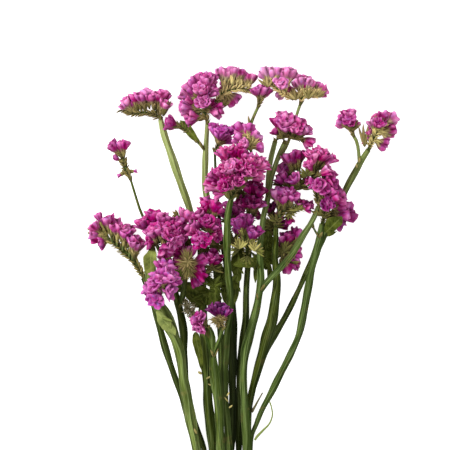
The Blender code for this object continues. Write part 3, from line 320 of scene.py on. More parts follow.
# Free leaves and dried bits: paths of (u, v, height, width in mm), and how flat they are
LEAVES = {
    "leaf_low_left": ([(195.5, 332, 28, 5), (196.5, 340, 28, 7), (198.5, 350, 27, 6.5),
                       (200.5, 361, 26, 4.5), (202, 371, 24.6, 2)], 0.11),
    "leaf_right": ([(325.4, 232.6, 38, 4), (330, 228.4, 40.5, 10), (335, 223.4, 43, 12),
                    (342, 216.6, 44, 6)], 0.07),
    "leaf_centre": ([(233, 265, 31.5, 3), (240, 264, 32.4, 7), (251, 262, 32.8, 8),
                     (261, 259.5, 32.6, 6.5), (268, 257.5, 32, 2.5)], 0.07),
    "leaf_dark_upper": ([(184.6, 282.6, 28.6, 2.5), (191.6, 288, 28.8, 10), (201, 293.6, 28.8, 15),
                         (212.6, 297, 28.8, 15), (222, 298.4, 28.8, 6)], 0.07),
    "leaf_right_inner": ([(266, 270, 22, 3), (266, 259, 23, 11), (267.5, 247, 23.6, 13),
                          (268.4, 238, 24.4, 10), (268, 230.5, 25, 4)], 0.08),
    "bract_right": ([(326.4, 236.4, 33, 2), (329, 234.8, 33.4, 3), (332.6, 233.2, 33.8, 3),
                     (337, 231.4, 34, 1.6)], 0.12),
    "leaf_behind_centre": ([(239.6, 238, 21.6, 4), (238.6, 248, 21.6, 9), (237.6, 262, 23, 10.5),
                            (237.6, 275, 24.4, 9), (238, 284, 25, 4)], 0.08),
    "leaf_dark_left": ([(213.4, 278.5, 33, 4), (214.2, 284, 34, 9), (215, 293, 34, 10),
                        (215.6, 303, 33.4, 4)], 0.08),
    "leaf_dark_middle": ([(219, 262, 26, 3), (220.8, 270, 25.6, 7), (221.6, 281, 25.2, 8),
                          (222.6, 290, 24.8, 4)], 0.08),
    "leaf_left_back": ([(183.6, 293.6, 22.4, 3), (181.6, 286, 21.4, 9), (180.6, 277, 20.4, 10.5),
                        (181.2, 268, 20.4, 7), (182.6, 261, 21, 2.5)], 0.08),
    "leaf_left_wing": ([(156.2, 311.6, 39.6, 3), (160.4, 316, 39.8, 9), (165.4, 322, 38.8, 10),
                        (170.8, 328.6, 37.4, 7), (175.6, 335.6, 35.6, 2.5)], 0.07),
    "dried_calyx": ([(184.4, 300.5, 31, 4), (187.6, 305, 31.6, 10), (190.6, 311, 31.6, 11.5),
                     (193.6, 318.4, 30.6, 6)], 0.18),
    "dried_tendril": ([(269.6, 401.5, 20.5, 1.2), (271.4, 407, 20, 1.2), (272.4, 415, 18.5, 1.3),
                       (269.4, 423.6, 17, 1.5), (262.4, 431, 15.8, 2), (257.4, 436.2, 14.9, 2.4),
                       (254.8, 440, 14.2, 1.8)], 0.5),
    "dried_twig": ([(251.6, 412, 14.2, 2.6), (255.5, 405.5, 15.6, 1.8), (259, 399, 17, 1.3),
                    (262.6, 392.7, 18.4, 1)], 0.5),
}


# How each flower head looks: flower radius as a share of the spikelet's, flowers per spikelet
# against the usual number, tone from -1 dark to 1 pale, hue from -1 purple to 1 red, crumple,
# how far the flowers open, tone of the scales, their green from 0 tan to 1 green, and spiky
# bracts for each spikelet
LOOK = {
    "head_top_left": (0.80, 0.9, 0.30, 0.0, 0.8, 0.10, 0.05, 0.3, 1),
    "head_left_small": (0.80, 0.9, 0.05, 0.1, 0.8, 0.2, 0.20, 0.5, 1),
    "head_top_round": (0.86, 0.9, 0.22, 0.0, 1.0, 0.30, 0.10, 0.2, 1),
    "head_top_turned": (0.82, 0.9, 0.44, 0.0, 0.8, 0.15, 0.90, 0.2, 2),
    "head_left_bud": (0.84, 0.9, 0.10, 0.0, 0.7, 0.2, -0.30, 0.6, 1),
    "head_upper_funnel": (0.86, 1.0, 0.10, -0.8, 0.9, 0.35, 0.20, 0.2, 1),
    "head_front_top": (0.86, 0.9, 0.45, -0.2, 0.8, 0.15, 0.80, 0.3, 3),
    "head_front": (0.74, 1.4, 0.28, 0.45, 1.5, 0.95, -0.20, 0.4, 0),
    # The dark tones of head_behind_front's flowers and scales are painted shade, for the shadow it lies in under
    # head_front
    "head_behind_front": (0.80, 1.2, -0.55, 0.3, 1.1, 0.6, -0.60, 0.2, 1),
    "head_middle_dark": (0.80, 1.1, -0.50, 0.0, 1.0, 0.5, -0.50, 0.3, 4),
    "head_centre_green": (0.82, 1.0, -0.20, -0.6, 0.9, 0.40, 0.50, 0.9, 3),
    "head_centre_left": (0.86, 1.0, -0.15, 0.3, 1.2, 0.50, -0.50, 0.3, 2),
    "head_left_spike": (0.86, 0.9, 0.24, 0.0, 1.0, 0.2, 0.50, 0.6, 4),
    "head_left_mass": (1.00, 0.9, 0.04, 0.2, 1.2, 0.40, -0.20, 0.2, 2),
    "head_left_low": (1.16, 0.90, 0.08, -0.5, 1.5, 0.30, 0.40, 0.2, 2),
    "head_turned_away": (0.84, 1.0, -0.35, 0.2, 1.0, 0.6, 0.05, 0.2, 3),
    "head_dark_small": (0.84, 1.1, -0.40, 0.3, 1.0, 0.5, -0.60, 0.3, 2),
    "head_right_low": (0.82, 1.0, -0.62, 0.0, 1.1, 0.3, -0.40, 0.5, 5),
    "head_right_dark": (0.78, 0.9, -0.70, 0.0, 1.0, 0.3, -0.40, 0.6, 6),
    "head_right_pale": (0.86, 1.0, 0.20, -0.1, 0.9, 0.4, 0.10, 0.5, 3),
    "head_right_bud": (0.82, 1.0, 0.05, 0.0, 0.9, 0.3, 0.40, 0.8, 4),
    "head_right_upper": (0.80, 1.2, 0.30, 0.4, 1.3, 0.7, -0.30, 0.4, 1),
    "head_right_inner": (0.84, 1.0, -0.15, -0.1, 0.9, 0.3, -0.20, 0.6, 4),
    "head_right_large": (0.94, 0.8, -0.16, 0.1, 1.0, 0.35, -0.30, 0.4, 2),
    "head_far_right_small": (0.80, 0.9, 0.24, 0.0, 0.9, 0.2, 0.80, 0.2, 3),
    "head_far_right": (0.72, 0.7, 0.42, 0.0, 0.9, 0.2, 1.05, 0.4, 5),
    "head_upper_right": (0.84, 1.0, 0.26, 0.2, 1.1, 0.4, -0.50, 0.2, 2),
    "head_top_pale": (0.86, 0.9, 0.90, -0.2, 0.8, 0.15, 1.60, 0.2, 1),
    "head_top_right": (0.82, 0.9, 0.46, 0.0, 0.8, 0.15, 1.40, 0.2, 2),
    "head_top_small": (0.84, 0.9, 0.05, 0.1, 0.8, 0.3, 0.00, 0.4, 1),
    "head_low_purple": (0.76, 1.2, -1.20, -1.2, 1.4, 0.6, 0.20, 0.0, 5),
    "head_low_pink": (0.92, 1.0, 0.25, -0.2, 1.0, 0.8, 0.10, 0.2, 2),
}

# How much of a flower's length is its ribbed tube, against the usual share
TUBE = {
    "head_top_left": 1.9, "head_top_turned": 1.9, "head_top_right": 1.9, "head_top_pale": 1.4,
    "head_far_right": 2.1, "head_far_right_small": 1.7, "head_left_spike": 1.6, "head_right_low": 1.5,
    "head_right_dark": 1.6, "head_left_low": 1.3, "head_front_top": 1.5, "head_right_bud": 1.4,
    "head_upper_right": 1.2, "head_left_small": 1.4, "head_right_inner": 1.3, "head_right_large": 1.2,
    "head_upper_funnel": 1.3, "head_turned_away": 1.2, "head_top_small": 1.3,
}

# How far the flowers of a head are laid over to show their sides, from 0 to 1
LAID = {
    "head_left_low": 0.85, "head_left_mass": 0.65, "head_centre_left": 0.45, "head_right_large": 0.55,
    "head_front": 0.25, "head_right_upper": 0.35, "head_right_pale": 0.5, "head_top_round": 0.35,
    "head_left_spike": 0.4, "head_right_inner": 0.4, "head_behind_front": 0.3, "head_upper_right": 0.3,
}

# Bracts that fan out flat: centre (u, v, height), the way they aim in degrees from +X, their
# spread, how many, length and width in mm, tone and green
FANS = {
    "head_turned_away": [(188, 262, 48.6, 0, 360, 46, 9.2, 0.9, -0.10, 0.1),
                         (188, 262, 50.0, 0, 360, 20, 5.6, 0.9, 0.40, 0.1),
                         (187.5, 261, 49.4, 95, 60, 12, 12.0, 1.1, 0.15, 0.3),
                         (188.5, 264, 49.0, 262, 60, 14, 15.0, 1.1, 0.05, 0.4),
                         (187, 263, 49.8, 205, 90, 12, 10.5, 1.1, 0.40, 0.1)],
    "head_centre_green": [(239.5, 248.5, 47.5, 92, 140, 10, 10.0, 2.2, 0.70, 0.7),
                          (254.4, 251, 47.5, 84, 130, 9, 9.4, 2.2, 0.65, 0.6),
                          (239.0, 250, 47.0, 190, 70, 5, 9.5, 1.4, 0.15, 1.0),
                          (255.0, 251, 47.0, -10, 70, 5, 9.0, 1.4, 0.10, 1.0),
                          (247, 256, 46.0, 262, 120, 8, 8.0, 1.6, -0.3, 1.0),
                          (234, 241, 34.0, 90, 360, 14, 8.5, 2.2, -0.45, 0.9),
                          (252, 240, 36.0, 90, 360, 10, 7.0, 2.2, -0.40, 0.8)],
    "head_front": [(230.5, 200, 61.0, 90, 120, 8, 9.5, 2.6, -0.05, 0.7),
                   (222, 191, 62.0, 80, 160, 7, 7.0, 2.4, -0.20, 0.3),
                   (238, 190, 62.0, 100, 160, 7, 7.0, 2.4, -0.30, 0.4)],
    "head_front_top": [(245, 148, 62.0, 95, 120, 9, 9.5, 2.0, 0.50, 0.3),
                       (252, 145, 61.0, 60, 110, 8, 8.5, 2.0, 0.50, 0.2)],
    "head_right_bud": [(298, 210, 40.0, 110, 170, 10, 8.0, 2.0, 0.50, 0.8),
                       (291, 213, 38.5, 120, 200, 9, 7.0, 2.0, 0.10, 0.6),
                       (288, 212, 36.0, 30, 260, 10, 7.5, 2.0, 0.00, 0.8)],
    "head_right_pale": [(286, 207, 43.0, 100, 140, 8, 7.5, 2.2, 0.10, 0.5),
                        (277, 222, 37.0, 95, 140, 8, 9.0, 2.0, -0.10, 0.7),
                        (276, 200, 42, 95, 150, 7, 7.5, 2.2, 0.1, 0.5),
                        (279, 184, 33.0, 90, 360, 12, 6.5, 2.2, -0.50, 0.5)],
    "head_right_dark": [(272, 226, 25.0, 95, 220, 12, 11.0, 2.4, -0.30, 0.8),
                        (267, 230, 24.0, 90, 360, 12, 7.5, 2.4, -0.45, 0.7)],
    "head_low_purple": [(218.5, 321, 50.0, 90, 220, 16, 8.0, 1.6, 0.30, 0.1),
                        (218.5, 320, 49.0, 275, 200, 12, 7.0, 1.4, 0.10, 0.1)],
    "head_low_pink": [(203, 325, 44.0, 150, 160, 8, 7.0, 1.4, 0.20, 0.2)],
    "head_right_inner": [(300, 186, 41.0, 110, 220, 12, 10.0, 2.4, -0.10, 0.9),
                         (293, 190, 38.0, 170, 160, 8, 8.0, 2.2, -0.20, 0.7)],
    "head_right_upper": [(307, 176, 45.0, 110, 200, 10, 9.0, 2.2, -0.10, 0.9)],
    "head_right_large": [(326, 205, 47.0, 70, 220, 12, 9.5, 2.6, -0.15, 0.4),
                         (322, 216, 41.0, 60, 200, 10, 9.0, 2.8, -0.10, 0.7)],
    "head_right_low": [(284, 252, 27.0, 110, 240, 14, 11.0, 2.8, -0.30, 0.7),
                       (291, 262, 23.0, 60, 160, 9, 8.0, 2.6, -0.20, 0.6)],
    "head_left_low": [(166, 290, 52.0, 60, 200, 9, 6.5, 1.6, 0.45, 0.2)],
    "head_centre_left": [(208, 243, 46.0, 100, 240, 12, 9.0, 2.2, -0.45, 0.5),
                         (216, 247, 30.0, 90, 360, 14, 7.5, 2.4, -0.55, 0.6),
                         (206, 251, 31.0, 90, 360, 12, 7.0, 2.4, -0.50, 0.5)],
    "head_left_mass": [(187, 243, 33.0, 90, 360, 14, 7.0, 2.4, -0.50, 0.4),
                       (166, 256, 31.0, 90, 360, 14, 8.0, 2.6, -0.50, 0.6),
                       (178, 214, 40.0, 200, 160, 7, 6.0, 2.2, -0.10, 0.3)],
    # The dark tone of these low scales is painted shade under head_front
    "head_behind_front": [(240, 194, 34.0, 90, 360, 14, 8.0, 2.4, -0.60, 0.5)],
    "head_middle_dark": [(230.5, 222, 29.0, 90, 200, 12, 10.0, 2.4, -0.50, 0.6)],
    "head_left_spike": [(94, 232, 19.0, 150, 260, 12, 7.0, 1.6, 0.30, 0.4),
                        (102, 238, 18.5, 120, 200, 9, 7.0, 1.8, 0.10, 0.4)],
    "head_upper_right": [(284, 138, 43.0, 95, 170, 9, 8.0, 2.6, -0.45, 0.3),
                         (295, 140, 42.0, 80, 150, 8, 8.0, 2.4, -0.40, 0.2)],
    "head_far_right": [(364.5, 147, 26.6, 88, 36, 6, 19.0, 2.6, 0.35, 0.2)],
    "head_far_right_small": [(351, 131, 31.0, 92, 120, 8, 11.5, 2.6, 0.15, 0.1)],
    "head_top_right": [(296, 100, 31.0, 105, 110, 9, 11.5, 2.6, 0.55, 0.2),
                       (308, 99, 31.0, 80, 100, 8, 11.0, 2.6, 0.50, 0.3),
                       (318, 97, 30.0, 50, 80, 5, 9.0, 2.4, 0.40, 0.2)],
    "head_top_pale": [(268, 87, 33.0, 92, 110, 8, 11.0, 2.6, 0.50, 0.2)],
    "head_top_left": [(163.5, 116, 31.0, 82, 44, 6, 14.0, 2.4, -0.30, 0.3)],
    "head_top_turned": [(222, 108, 30.0, 80, 100, 7, 9.5, 2.4, 0.00, 0.2)],
    "head_dark_small": [(213, 270, 38.0, 90, 240, 12, 9.0, 2.4, -0.55, 0.7)],
}

# Tone of each stem from -1 dark to 1 light near its cut end, hue from -1 sage to 1 olive, and its
# tone up by the flowers
STEM_LOOK = {
    "stem_left_outer": (-0.3, 0.2, 0.1), "stem_left_winged": (0.70, 0.2, 1.15),
    "stem_left_thin": (-0.45, 0.9, 0.5), "stem_left_tall": (-0.25, 0.6, 1.5),
    "stem_front_forked": (0.40, 0.1, 0.8), "stem_front_long": (-0.20, 0.1, 0.65),
    # stem_middle_dark is toned darkest as painted shade, for the shadow it lies in low behind the stems in front
    # of it
    "stem_middle_dark": (-1.1, 0.2, -0.6), "stem_middle_tall": (0.1, 0.2, 1.4),
    "stem_centre_branched": (0.20, -0.4, 1.15), "stem_centre_thin": (-0.8, 0.6, 0.8),
    "stem_right_broad": (-0.40, 1.0, 0.5), "stem_far_right": (-0.20, 0.5, 1.0),
    "stem_right": (0.15, -0.5, 0.5),
}

# Tone of each leaf, its hue from 0 olive to 1 green, how ragged its edge is, and loose blades
LEAF_LOOK = {
    "leaf_low_left": (-0.35, 0.2, 0.5, 0), "leaf_right": (-0.30, 0.3, 1.5, 0),
    "leaf_centre": (-0.45, 0.3, 1.3, 9), "leaf_dark_upper": (-0.40, 0.4, 1.2, 4),
    "leaf_right_inner": (-0.35, 0.4, 1.2, 8), "bract_right": (-0.1, 0.5, 0.4, 0),
    "leaf_behind_centre": (-0.60, 0.4, 1.2, 7), "leaf_dark_left": (-0.50, 0.5, 1.2, 10),
    "leaf_dark_middle": (-0.65, 0.4, 0.9, 10), "leaf_left_back": (-0.55, 0.3, 1.1, 10),
    "leaf_left_wing": (1.15, 0.2, 1.8, 3),
}

# Toothed leaves that spring from a stem: points (u, v, height, width), then as LEAF_LOOK
STEM_LEAVES = {
    "stem_left_winged": [([(152.0, 249, 33.0, 4), (150.8, 257, 35.6, 9.4), (151.0, 268, 36.6, 10.6),
                           (151.8, 279, 36.6, 8.0), (152.6, 290, 36.4, 3.5)], (0.80, 0.2, 1.9, 0))],
    "stem_middle_tall": [([(200.0, 143.5, 31.5, 2), (194, 136.5, 32.5, 6.0), (187, 128, 33.2, 7.4),
                           (180, 120.5, 33.4, 4.0)], (0.00, 0.4, 1.0, 0))],
    "stem_left_tall": [([(183.5, 287, 25.5, 4), (189, 295, 25.5, 8), (196, 302, 25.5, 8.5),
                         (205, 306.5, 25.5, 3)], (-0.45, 0.4, 1.4, 2))],
    "stem_middle_dark": [([(236, 268, 19, 3), (236.2, 280, 20, 5.6), (235.4, 294, 20.6, 5.6),
                           (233.6, 306, 20.6, 3)], (-0.75, 0.3, 0.8, 1)),
                         ([(223.5, 282, 20, 3), (224.2, 290, 20.4, 5.5), (225.6, 299, 20.6, 5.0),
                           (228, 306, 20.6, 2.5)], (-0.70, 0.3, 0.9, 2))],
    "stem_centre_branched": [([(255.6, 262, 30, 2.4), (255.8, 271, 30.4, 4.0), (255.2, 283, 30.4, 2.0)],
                              (-0.35, 0.3, 1.0, 2))],
    "stem_right_broad": [([(268.8, 261, 26, 2.6), (269.6, 270, 26.6, 5.0), (268.6, 284, 27, 2.2)],
                          (-0.30, 0.3, 1.0, 2))],
}

# Small scales left on the stems where a leaf or branch was: (u, v, height, the way they aim in
# degrees, length and width in mm, tone)
SCARS = {
    "stem_left_tall": [(202, 374, 20, 150, 4.5, 2.6, 0.7), (206, 379, 20.5, 30, 5.5, 1.6, 0.6),
                       (208, 384, 20, -20, 6, 1.4, 0.6), (211, 381, 20, 10, 7, 1.2, 0.5),
                       (212, 386, 19, -10, 5, 1.2, 0.4)],
    "stem_front_long": [(227, 396, 25, 60, 4, 1.6, 0.9), (228.5, 402, 24, 130, 6, 1.3, 0.6),
                        (229, 408, 23, 40, 4, 1.6, 0.9), (222, 407, 22.5, 160, 4.5, 1.6, 0.5)],
    "stem_middle_tall": [(203, 148.6, 33, 115, 8, 2.2, 0.1), (198, 143, 32.5, 140, 5, 2.4, 0.1)],
    "stem_centre_thin": [(250, 126, 29.5, 100, 9, 2.2, 0.2), (252.6, 119, 29.5, 60, 5, 1.6, 0.1)],
    "stem_left_winged": [(197, 434, 14, 120, 6, 2.4, 0.5), (153, 300, 36, 100, 7, 3.0, 0.4)],
    "stem_centre_branched": [(260.5, 291, 36.5, 60, 8, 2.0, 0.0), (258, 300, 35, 100, 6, 1.6, 0.0)],
    "stem_right_broad": [(255.5, 420, 12, 40, 6, 2.6, 0.2), (252.5, 412, 13, 80, 4, 2.6, 0.5)],
    "stem_front_forked": [(213.5, 357, 36.5, 112, 7, 1.6, 0.2), (214.5, 357, 36.5, 66, 8, 1.4, 0.1)],
    "stem_right": [(257, 424, 13, 70, 7, 2.0, 0.6), (319, 238, 38, 60, 6, 2.6, 0.1)],
    "stem_far_right": [(357, 168, 23, 100, 4, 2.0, 0.6), (359, 163, 23.5, 80, 5, 2.0, 0.5)],
}


def at(u, v, height):
    """A plan point at a height, in metres in the object's own frame."""
    scale = UNIT_MM * (EYE_HEIGHT - height) / (EYE_HEIGHT - MID_HEIGHT)
    return np.array([(u - CENTRE) * scale + SHIFT[0], (CENTRE - v) * scale + SHIFT[1], height]) / 1000


def along(path, place):
    """The point of a path at a place counted in points."""
    i = min(int(place), len(path) - 2)
    first, second = at(*path[i][:3]), at(*path[i + 1][:3])
    return first + (second - first) * (place - i)


def unit(vector):
    return vector / max(float(np.linalg.norm(vector)), 1e-12)


def square_to(direction):
    """Two directions square to this one and to each other."""
    other = np.array([0.0, 0.0, 1.0]) if abs(direction[2]) < 0.85 else np.array([0.0, 1.0, 0.0])
    first = unit(np.cross(other, direction))
    return first, np.cross(direction, first)


def waver(points, wavelength, seed, octaves=3):
    """A smooth vector for each point, about one unit long, from crossed waves."""
    dice = np.random.default_rng(seed)
    total = np.zeros_like(points)
    for octave in range(octaves):
        for _ in range(4):
            way, push = unit(dice.normal(size=3)), unit(dice.normal(size=3))
            waves = np.sin(points @ way * (2 * pi / wavelength * 1.9 ** octave) + dice.uniform(0, 6.3))
            total += np.outer(waves, push) * 0.55 * 0.6 ** octave
    return total


def smooth_path(path, flatness, spacing):
    """The centres, widths in metres and lengths along a rounded line through a path's points."""
    knots, widths = [], []
    for u, v, height, width in path:
        if height is ON_FLOOR:
            height = width * flatness
        knots.append(at(u, v, height))
        widths.append(width / 1000)
    knots, widths = np.array(knots), np.array(widths)
    steps = np.linalg.norm(np.diff(knots, axis=0), axis=1)
    places = np.concatenate([[0], np.cumsum(steps)])
    ends = np.vstack([2 * knots[0] - knots[1], knots, 2 * knots[-1] - knots[-2]])
    end_places = np.concatenate([[-steps[0]], places, [places[-1] + steps[-1]]])
    count = max(int(places[-1] / spacing), 3) + 1
    wanted = np.linspace(0, places[-1], count)
    slopes = (ends[2:] - ends[:-2]) / (end_places[2:] - end_places[:-2])[:, None]
    piece = np.clip(np.searchsorted(places, wanted, side="right") - 1, 0, len(steps) - 1)
    part = ((wanted - places[piece]) / steps[piece])[:, None]
    span = steps[piece][:, None]
    centres = ((2 * part ** 3 - 3 * part ** 2 + 1) * knots[piece]
               + (part ** 3 - 2 * part ** 2 + part) * span * slopes[piece]
               + (-2 * part ** 3 + 3 * part ** 2) * knots[piece + 1]
               + (part ** 3 - part ** 2) * span * slopes[piece + 1])
    return centres, np.interp(wanted, places, widths), wanted


def sides_along(centres):
    """For each point of a line, its direction, the level way across it and the way up from it."""
    forward = np.gradient(centres, axis=0)
    forward /= np.linalg.norm(forward, axis=1)[:, None]
    across = np.cross(forward, np.array([0.0, 0.0, 1.0]))
    short = np.linalg.norm(across, axis=1) < 0.15
    if short.all():
        across[:] = np.array([1.0, 0.0, 0.0])
    elif short.any():
        good = np.where(~short)[0]
        for i in np.where(short)[0]:
            across[i] = across[good[np.argmin(abs(good - i))]]
    across /= np.linalg.norm(across, axis=1)[:, None]
    up = np.cross(across, forward)
    up /= np.linalg.norm(up, axis=1)[:, None]
    return forward, across, up


class Skin:
    """Gathers closed patches of one piece, each a grid of points, and makes one mesh of them."""

    def __init__(self):
        self.points, self.facts, self.count = [], [], 0
        self.quads, self.quad_uv, self.quad_slot, self.quad_patch = [], [], [], []
        self.tris, self.tri_uv, self.tri_slot, self.tri_patch = [], [], [], []
        self.patches = []

    def grid(self, points, lengths, fact, slot, bands=1):
        """A tube of rings, closed at both ends. points is (rings, sides, 3), lengths is each ring's
        place along it, and fact is three numbers for the whole tube or for each of its points."""
        rings, sides, _ = points.shape
        first = self.count
        fact = np.broadcast_to(np.asarray(fact, float), (rings, sides, 3)).reshape(-1, 3)
        self.points += [points.reshape(-1, 3), points[0].mean(0)[None], points[-1].mean(0)[None]]
        self.facts += [fact, fact[:sides].mean(0)[None], fact[-sides:].mean(0)[None]]
        bottom, top = first + rings * sides, first + rings * sides + 1
        self.count = top + 1
        i, j = np.meshgrid(np.arange(rings - 1), np.arange(sides), indexing="ij")
        i, j = i.ravel(), j.ravel()
        k = (j + 1) % sides
        self.quads.append(first + np.stack([i * sides + j, i * sides + k,
                                            (i + 1) * sides + k, (i + 1) * sides + j], 1))
        low, high = np.asarray(lengths)[i], np.asarray(lengths)[i + 1]
        left, right = j / sides, (j + 1) / sides
        self.quad_uv.append(np.stack([np.stack([left, low], 1), np.stack([right, low], 1),
                                      np.stack([right, high], 1), np.stack([left, high], 1)], 1))
        self.quad_slot.append(np.full(len(i), slot))
        # The patch's own place in the map that is used for storing its colours
        girth = np.linalg.norm(np.roll(points, -1, axis=1) - points, axis=2).sum(1).mean()
        tall = np.linalg.norm(np.diff(points.mean(1), axis=0), axis=1).sum()
        tall = max(tall, np.linalg.norm(np.diff(points[:, 0], axis=0), axis=1).sum())
        edges = np.linspace(0, rings - 1, bands + 1).round().astype(int)
        band = np.clip(np.searchsorted(edges, i, side="right") - 1, 0, bands - 1)
        start, stop = edges[band], edges[band + 1]
        inner = 0.04 + 0.92 * (np.stack([i, i, i + 1, i + 1], 1) - start[:, None]) / (stop - start)[:, None]
        self.quad_patch.append(np.concatenate([
            (len(self.patches) + band)[:, None, None].repeat(4, 1),
            np.stack([left, right, right, left], 1)[:, :, None], inner[:, :, None]], 2))
        ring = np.arange(sides)
        after = (ring + 1) % sides
        middle = (ring + 0.5) / sides
        self.tris.append(np.stack([np.full(sides, bottom), first + after, first + ring], 1))
        self.tris.append(np.stack([np.full(sides, top), first + (rings - 1) * sides + ring,
                                   first + (rings - 1) * sides + after], 1))
        for end, turned, patch, far, near in ((0, True, 0, 0.0, 0.04), (-1, False, bands - 1, 1.0, 0.96)):
            here = np.full(sides, float(lengths[end]))
            pair = (ring + 1, ring) if turned else (ring, ring + 1)
            self.tri_uv.append(np.stack([np.stack([middle, here], 1),
                                         np.stack([pair[0] / sides, here], 1),
                                         np.stack([pair[1] / sides, here], 1)], 1))
            whole = np.full(sides, float(len(self.patches) + patch))
            self.tri_patch.append(np.stack([
                np.stack([whole, middle, np.full(sides, far)], 1),
                np.stack([whole, pair[0] / sides, np.full(sides, near)], 1),
                np.stack([whole, pair[1] / sides, np.full(sides, near)], 1)], 1))
            self.tri_slot.append(np.full(sides, slot))
        self.patches += [(girth, max(tall, girth * 0.2) / bands)] * bands
        return first, first + rings * sides

    def store_map(self, spots):
        """The corners of each patch's own rectangle in one square, none over another."""
        sizes = np.array(self.patches)
        order = np.argsort(-sizes[:, 1])
        width = max(sizes[:, 0].max(), np.sqrt((sizes[:, 0] * sizes[:, 1]).sum()) * 1.06)
        x = y = shelf = 0.0
        places = np.zeros((len(sizes), 2))
        gap = width * 0.0025
        for k in order:
            if x + sizes[k, 0] > width and x > 0:
                x, y, shelf = 0.0, y + shelf + gap, 0.0
            places[k] = x, y
            x += sizes[k, 0] + gap
            shelf = max(shelf, sizes[k, 1])
        across, high = max((places + sizes)[:, 0].max(), width), y + shelf
        patch = spots[:, 0].astype(int)
        flat = places[patch] + sizes[patch] * spots[:, 1:]
        return flat / np.array([across, high]) * 0.996 + 0.002

    def make(self, name, materials, lowest=0.0004):
        """The object, at the origin, with its map of patterns and its smooth faces."""
        points = np.concatenate(self.points)
        soft = 0.0016
        low = points[:, 2] < soft
        points[low, 2] = lowest + (soft - lowest) * np.exp((points[low, 2] - soft) / soft)
        quads, tris = np.concatenate(self.quads), np.concatenate(self.tris)
        mesh = bpy.data.meshes.new(name)
        mesh.vertices.add(len(points))
        mesh.vertices.foreach_set("co", points.astype(np.float32).ravel())
        mesh.loops.add(len(quads) * 4 + len(tris) * 3)
        mesh.loops.foreach_set("vertex_index",
                               np.concatenate([quads.ravel(), tris.ravel()]).astype(np.int32))
        mesh.polygons.add(len(quads) + len(tris))
        starts = np.concatenate([np.arange(len(quads)) * 4, len(quads) * 4 + np.arange(len(tris)) * 3])
        mesh.polygons.foreach_set("loop_start", starts.astype(np.int32))
        slots = np.concatenate(self.quad_slot + self.tri_slot).astype(np.int32)
        mesh.polygons.foreach_set("material_index", slots)
        mesh.polygons.foreach_set("use_smooth", np.ones(len(slots), bool))
        mesh.update(calc_edges=True)
        pattern = mesh.uv_layers.new(name="pattern")
        uv = np.concatenate([np.concatenate(self.quad_uv).reshape(-1, 2),
                             np.concatenate(self.tri_uv).reshape(-1, 2)])
        pattern.data.foreach_set("uv", uv.astype(np.float32).ravel())
        stored = mesh.uv_layers.new(name="OFBake")
        spots = np.concatenate([np.concatenate(self.quad_patch).reshape(-1, 3),
                                np.concatenate(self.tri_patch).reshape(-1, 3)])
        stored.data.foreach_set("uv", self.store_map(spots).astype(np.float32).ravel())
        fact = mesh.attributes.new("fact", "FLOAT_VECTOR", "POINT")
        fact.data.foreach_set("vector", np.concatenate(self.facts).astype(np.float32).ravel())
        for material in materials:
            mesh.materials.append(material)
        mesh.validate()
        obj = bpy.data.objects.new(name, mesh)
        bpy.context.scene.collection.objects.link(obj)
        return obj


# The outline of a winged stem in half widths: thin wings left and right, a ridge above and below
WINGED = np.array([(1.0, 0.03), (0.82, 0.075), (0.64, 0.13), (0.48, 0.24), (0.34, 0.35), (0.20, 0.42),
                   (0.10, 0.49), (0.04, 0.585), (-0.04, 0.585), (-0.10, 0.49), (-0.20, 0.42),
                   (-0.34, 0.35), (-0.48, 0.24), (-0.64, 0.13), (-0.82, 0.075), (-1.0, 0.03),
                   (-1.0, -0.03), (-0.82, -0.075), (-0.64, -0.14), (-0.48, -0.25), (-0.34, -0.36),
                   (-0.20, -0.42), (-0.07, -0.50), (0.07, -0.50), (0.20, -0.42), (0.34, -0.36),
                   (0.48, -0.25), (0.64, -0.14), (0.82, -0.075), (1.0, -0.03)])


